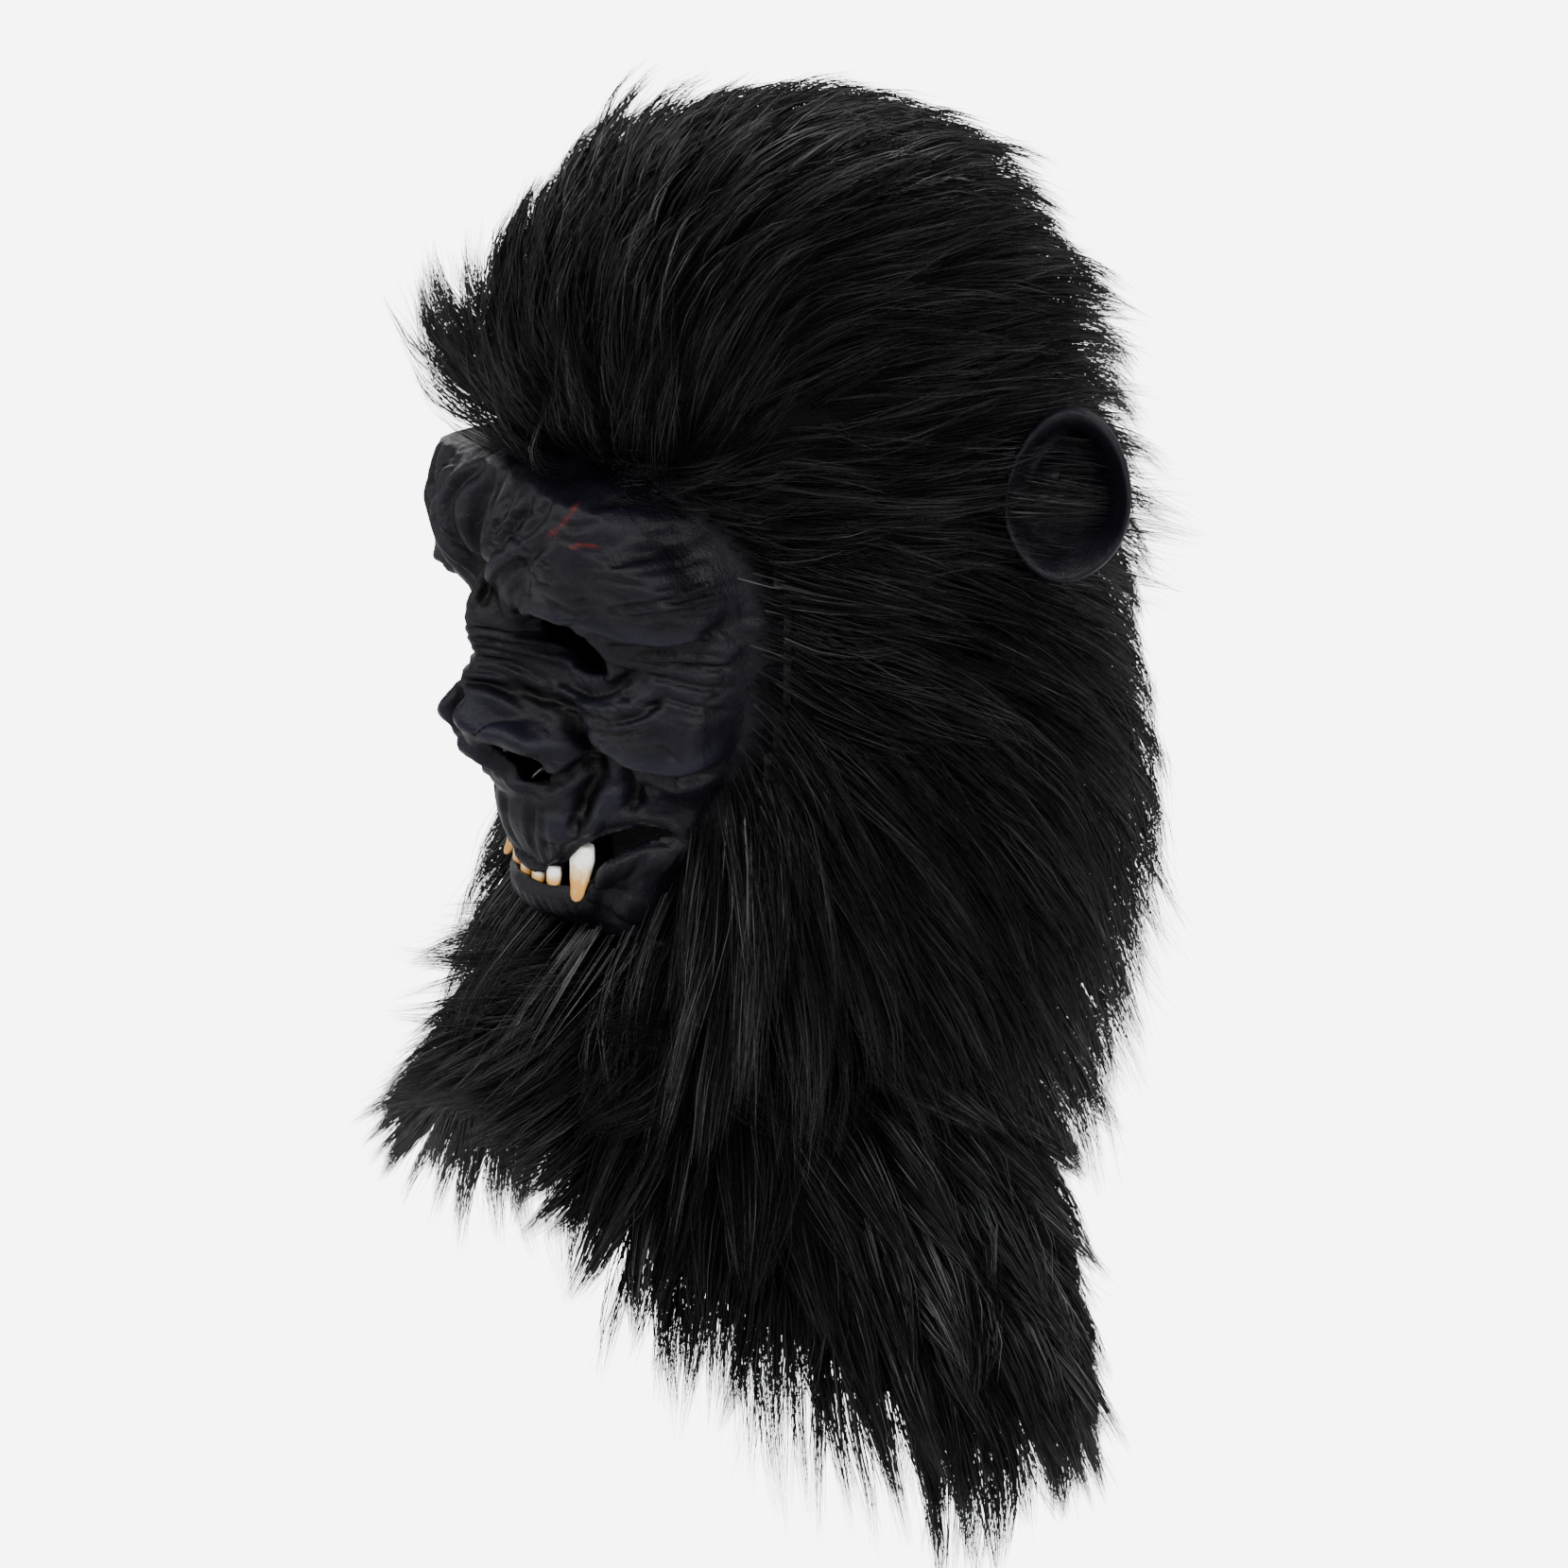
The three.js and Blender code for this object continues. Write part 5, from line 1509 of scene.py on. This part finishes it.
def make_stage(stage):
    scene = bpy.context.scene
    azimuth, elevation = stage.azimuth * DEGREE, stage.elevation * DEGREE
    flat = math.cos(elevation)
    back = Vector((math.sin(azimuth) * flat, -math.cos(azimuth) * flat, math.sin(elevation)))
    data = bpy.data.cameras.new("camera")
    data.lens = stage.lens
    data.sensor_width = 36
    data.clip_end = 20
    camera = bpy.data.objects.new("camera", data)
    scene.collection.objects.link(camera)
    right = Vector((math.cos(azimuth), math.sin(azimuth), 0))
    target = right * stage.aim_across + back.cross(right) * stage.aim_up
    camera.location = target + back * stage.distance
    camera.rotation_mode = "QUATERNION"
    camera.rotation_quaternion = (-back).to_track_quat("-Z", "Y")
    scene.camera = camera

    floor_material, tree, shader = new_material("pale floor", (0.9, 0.9, 0.9), 0.9)
    straight = add(tree, "ShaderNodeLightPath").outputs["Is Camera Ray"]
    glow = add(tree, "ShaderNodeEmission", {"Color": (1, 1, 1, 1), "Strength": BACKDROP})
    shown = add(tree, "ShaderNodeMixShader", {0: straight, 1: shader.outputs[0], 2: glow.outputs[0]})
    tree.links.new(shown.outputs[0], tree.nodes["Material Output"].inputs["Surface"])
    signs = ((-1, -1), (1, -1), (1, 1), (-1, 1))
    corners = [(x * FLOOR_HALF, y * FLOOR_HALF, FLOOR_LEVEL) for x, y in signs]
    mesh = bpy.data.meshes.new("floor")
    mesh.from_pydata(corners, [], [(0, 1, 2, 3)])
    mesh.materials.append(floor_material)
    floor = bpy.data.objects.new("floor", mesh)
    scene.collection.objects.link(floor)

    world = scene.world or bpy.data.worlds.new("studio")
    scene.world = world
    world.use_nodes = True
    tree = world.node_tree
    tree.nodes.clear()
    seen = add(tree, "ShaderNodeBackground", {"Color": (1, 1, 1, 1), "Strength": BACKDROP})
    light = add(tree, "ShaderNodeBackground", {"Color": (0.96, 0.98, 1.0, 1), "Strength": stage.sky})
    path = add(tree, "ShaderNodeLightPath")
    choice = {0: path.outputs["Is Camera Ray"], 1: light.outputs[0], 2: seen.outputs[0]}
    choose = add(tree, "ShaderNodeMixShader", choice)
    out = tree.nodes.new("ShaderNodeOutputWorld")
    tree.links.new(choose.outputs[0], out.inputs["Surface"])

    lamps = (
        ("key", (0.9, -1.5, 1.5), 1.1, stage.key),
        ("side", (2.2, 0.4, 0.6), 1.2, stage.key),
        ("front", (-0.9, -2.0, 0.3), 1.0, stage.key * 0.4),
        ("rear", (0.2, 1.9, 1.6), 1.2, stage.key * 0.6),
        ("far", (-2.0, 0.2, 0.8), 1.2, stage.key * 0.35),
    )
    for name, spot, width, power in lamps:
        lamp = bpy.data.lights.new(name, "AREA")
        lamp.shape = "DISK"
        lamp.size = width
        lamp.energy = power
        obj = bpy.data.objects.new(name, lamp)
        obj.location = spot
        obj.rotation_mode = "QUATERNION"
        obj.rotation_quaternion = (Vector(LAMP_AIM) - Vector(spot)).to_track_quat("-Z", "Y")
        scene.collection.objects.link(obj)


# Add-on


def count_setting(name, description, value, least):
    return IntProperty(name=name, description=description, default=value, min=least)


def number_setting(name, description, value, **settings):
    return FloatProperty(name=name, description=description, default=value, **settings)


def length_setting(name, description, value):
    """A length in metres."""
    return number_setting(name, description, value, unit="LENGTH", subtype="DISTANCE")


def colour_setting(name, description, value):
    limits = {"min": 0, "max": 1}
    return FloatVectorProperty(name=name, description=description, default=value, subtype="COLOR", **limits)


class MaskStyle(bpy.types.PropertyGroup):
    face_columns: count_setting("Face columns", "Points across the face", 212, 40)
    face_rows: count_setting("Face rows", "Points down the face", 218, 40)
    pile_mass: number_setting("Underfur", "Thickness of the closed underfur, in mm", 16.0)
    hair_length: length_setting("Hair length", "Length of the pile", 0.056)
    tuft_spacing: number_setting("Tuft spacing", "Distance between tufts, in mm", 6.6)
    strands: count_setting("Strands", "Strands in a tuft", 16, 1)
    strand_width: length_setting("Strand width", "Width of a strand", 0.0006)


class MaskColours(bpy.types.PropertyGroup):
    latex: colour_setting("Latex", "Colour of the latex", (0.0024, 0.0022, 0.0046))
    ivory: colour_setting("Ivory", "Colour of the teeth", (0.74, 0.6, 0.36))
    amber: colour_setting("Amber", "Colour of the teeth's tips", (0.56, 0.27, 0.055))
    fur: colour_setting("Fur", "Colour of the pile", (0.0108, 0.0108, 0.0118))
    # The glint colour is a painted highlight on the tips of the lightest strands.
    glint: colour_setting("Glint", "Colour of the lightest strands", (0.075, 0.075, 0.082))
    cloth: colour_setting("Backing", "Colour of the backing", (0.0035, 0.0035, 0.004))


class MaskStage(bpy.types.PropertyGroup):
    azimuth: number_setting("Azimuth", "Camera's turn round the mask, in degrees", 60.0)
    elevation: number_setting("Elevation", "Camera's height angle, in degrees", 20.0)
    distance: length_setting("Distance", "Camera's distance", 1.62)
    lens: number_setting("Lens", "Focal length, in mm", 102.0)
    aim_across: length_setting("Aim across", "Centre of view across", 0.005)
    aim_up: length_setting("Aim up", "Centre of view up the picture", -0.2325)
    sky: number_setting("Sky", "Strength of the soft light all round", 0.5)
    key: number_setting("Key light", "Power of the main light, in watts", 60.0)


def material_named(name, make, *values):
    return bpy.data.materials.get(name) or make(*values)


def latex():
    return material_named("charcoal latex", latex_material, tuple(bpy.context.scene.mask_colours.latex))


def fur():
    colours = bpy.context.scene.mask_colours
    return material_named("black pile", fur_material, tuple(colours.fur), tuple(colours.glint))


class MASK_OT_latex_face(bpy.types.Operator):
    """Makes the folded latex face with its eye holes, nostrils and mouth"""

    bl_idname = "mask.latex_face"
    bl_label = "Latex face"

    def execute(self, context):
        make_latex_face(context.scene.mask_style, latex())
        return {"FINISHED"}


class MASK_OT_teeth(bpy.types.Operator):
    """Makes the painted canines and incisors"""

    bl_idname = "mask.teeth"
    bl_label = "Teeth"

    def execute(self, context):
        colours = context.scene.mask_colours
        painted = material_named("painted tooth", tooth_material, tuple(colours.ivory), tuple(colours.amber))
        make_teeth(painted)
        return {"FINISHED"}


class MASK_OT_ears(bpy.types.Operator):
    """Makes both latex ears with their rolled rims"""

    bl_idname = "mask.ears"
    bl_label = "Ears"

    def execute(self, context):
        make_ears(latex())
        return {"FINISHED"}


class MASK_OT_cloth(bpy.types.Operator):
    """Makes the backing cloth of the hood and of the bib"""

    bl_idname = "mask.cloth"
    bl_label = "Backing cloth"

    def execute(self, context):
        colour = tuple(context.scene.mask_colours.cloth)
        make_cloth(material_named("knitted backing", cloth_material, colour))
        return {"FINISHED"}


class MASK_OT_underfur(bpy.types.Operator):
    """Makes the dense underfur that lies on the backing, painted darker than the pile as the shade deep within
    it
    """

    bl_idname = "mask.underfur"
    bl_label = "Underfur"

    def execute(self, context):
        # Painted shade: the underfur takes 0.4 of the pile's colour and no specular, dark as the shaded depths
        # of the pile.
        colour = tuple(c * 0.4 for c in context.scene.mask_colours.fur)
        material, _, shader = new_material("underfur", colour, 1.0)
        shader.inputs["Specular IOR Level"].default_value = 0.0
        make_underfur(context.scene.mask_style, material)
        return {"FINISHED"}


class MASK_OT_hood_fur(bpy.types.Operator):
    """Grows the hood's long hair in tufts, combed back from the face"""

    bl_idname = "mask.hood_fur"
    bl_label = "Hood fur"

    def execute(self, context):
        make_hood_fur(context.scene.mask_style, fur())
        return {"FINISHED"}


class MASK_OT_bib_fur(bpy.types.Operator):
    """Grows the bib's long hair in tufts, down to the pointed hem"""

    bl_idname = "mask.bib_fur"
    bl_label = "Bib fur"

    def execute(self, context):
        make_bib_fur(context.scene.mask_style, fur())
        return {"FINISHED"}


class MASK_OT_stage(bpy.types.Operator):
    """Makes the camera, the pale floor and the studio light"""

    bl_idname = "mask.stage"
    bl_label = "Stage"

    def execute(self, context):
        make_stage(context.scene.mask_stage)
        return {"FINISHED"}


OPERATORS = (
    MASK_OT_latex_face,
    MASK_OT_teeth,
    MASK_OT_ears,
    MASK_OT_cloth,
    MASK_OT_underfur,
    MASK_OT_hood_fur,
    MASK_OT_bib_fur,
    MASK_OT_stage,
)


class MASK_PT_panel(bpy.types.Panel):
    """Lists the mask's pieces"""

    bl_idname = "MASK_PT_panel"
    bl_label = "Gorilla mask"
    bl_space_type = "VIEW_3D"
    bl_region_type = "UI"
    bl_category = "Gorilla mask"

    def draw(self, context):
        for operator in OPERATORS:
            self.layout.operator(operator.bl_idname)


CLASSES = (MaskStyle, MaskColours, MaskStage, *OPERATORS, MASK_PT_panel)


def register():
    for cls in CLASSES:
        bpy.utils.register_class(cls)
    bpy.types.Scene.mask_style = PointerProperty(type=MaskStyle)
    bpy.types.Scene.mask_colours = PointerProperty(type=MaskColours)
    bpy.types.Scene.mask_stage = PointerProperty(type=MaskStage)


def unregister():
    del bpy.types.Scene.mask_stage
    del bpy.types.Scene.mask_colours
    del bpy.types.Scene.mask_style
    for cls in reversed(CLASSES):
        bpy.utils.unregister_class(cls)


def main():
    register()
    bpy.ops.mask.stage()
    bpy.ops.mask.latex_face()
    bpy.ops.mask.teeth()
    bpy.ops.mask.ears()
    bpy.ops.mask.cloth()
    bpy.ops.mask.underfur()
    bpy.ops.mask.hood_fur()
    bpy.ops.mask.bib_fur()


if __name__ == "__main__":
    main()
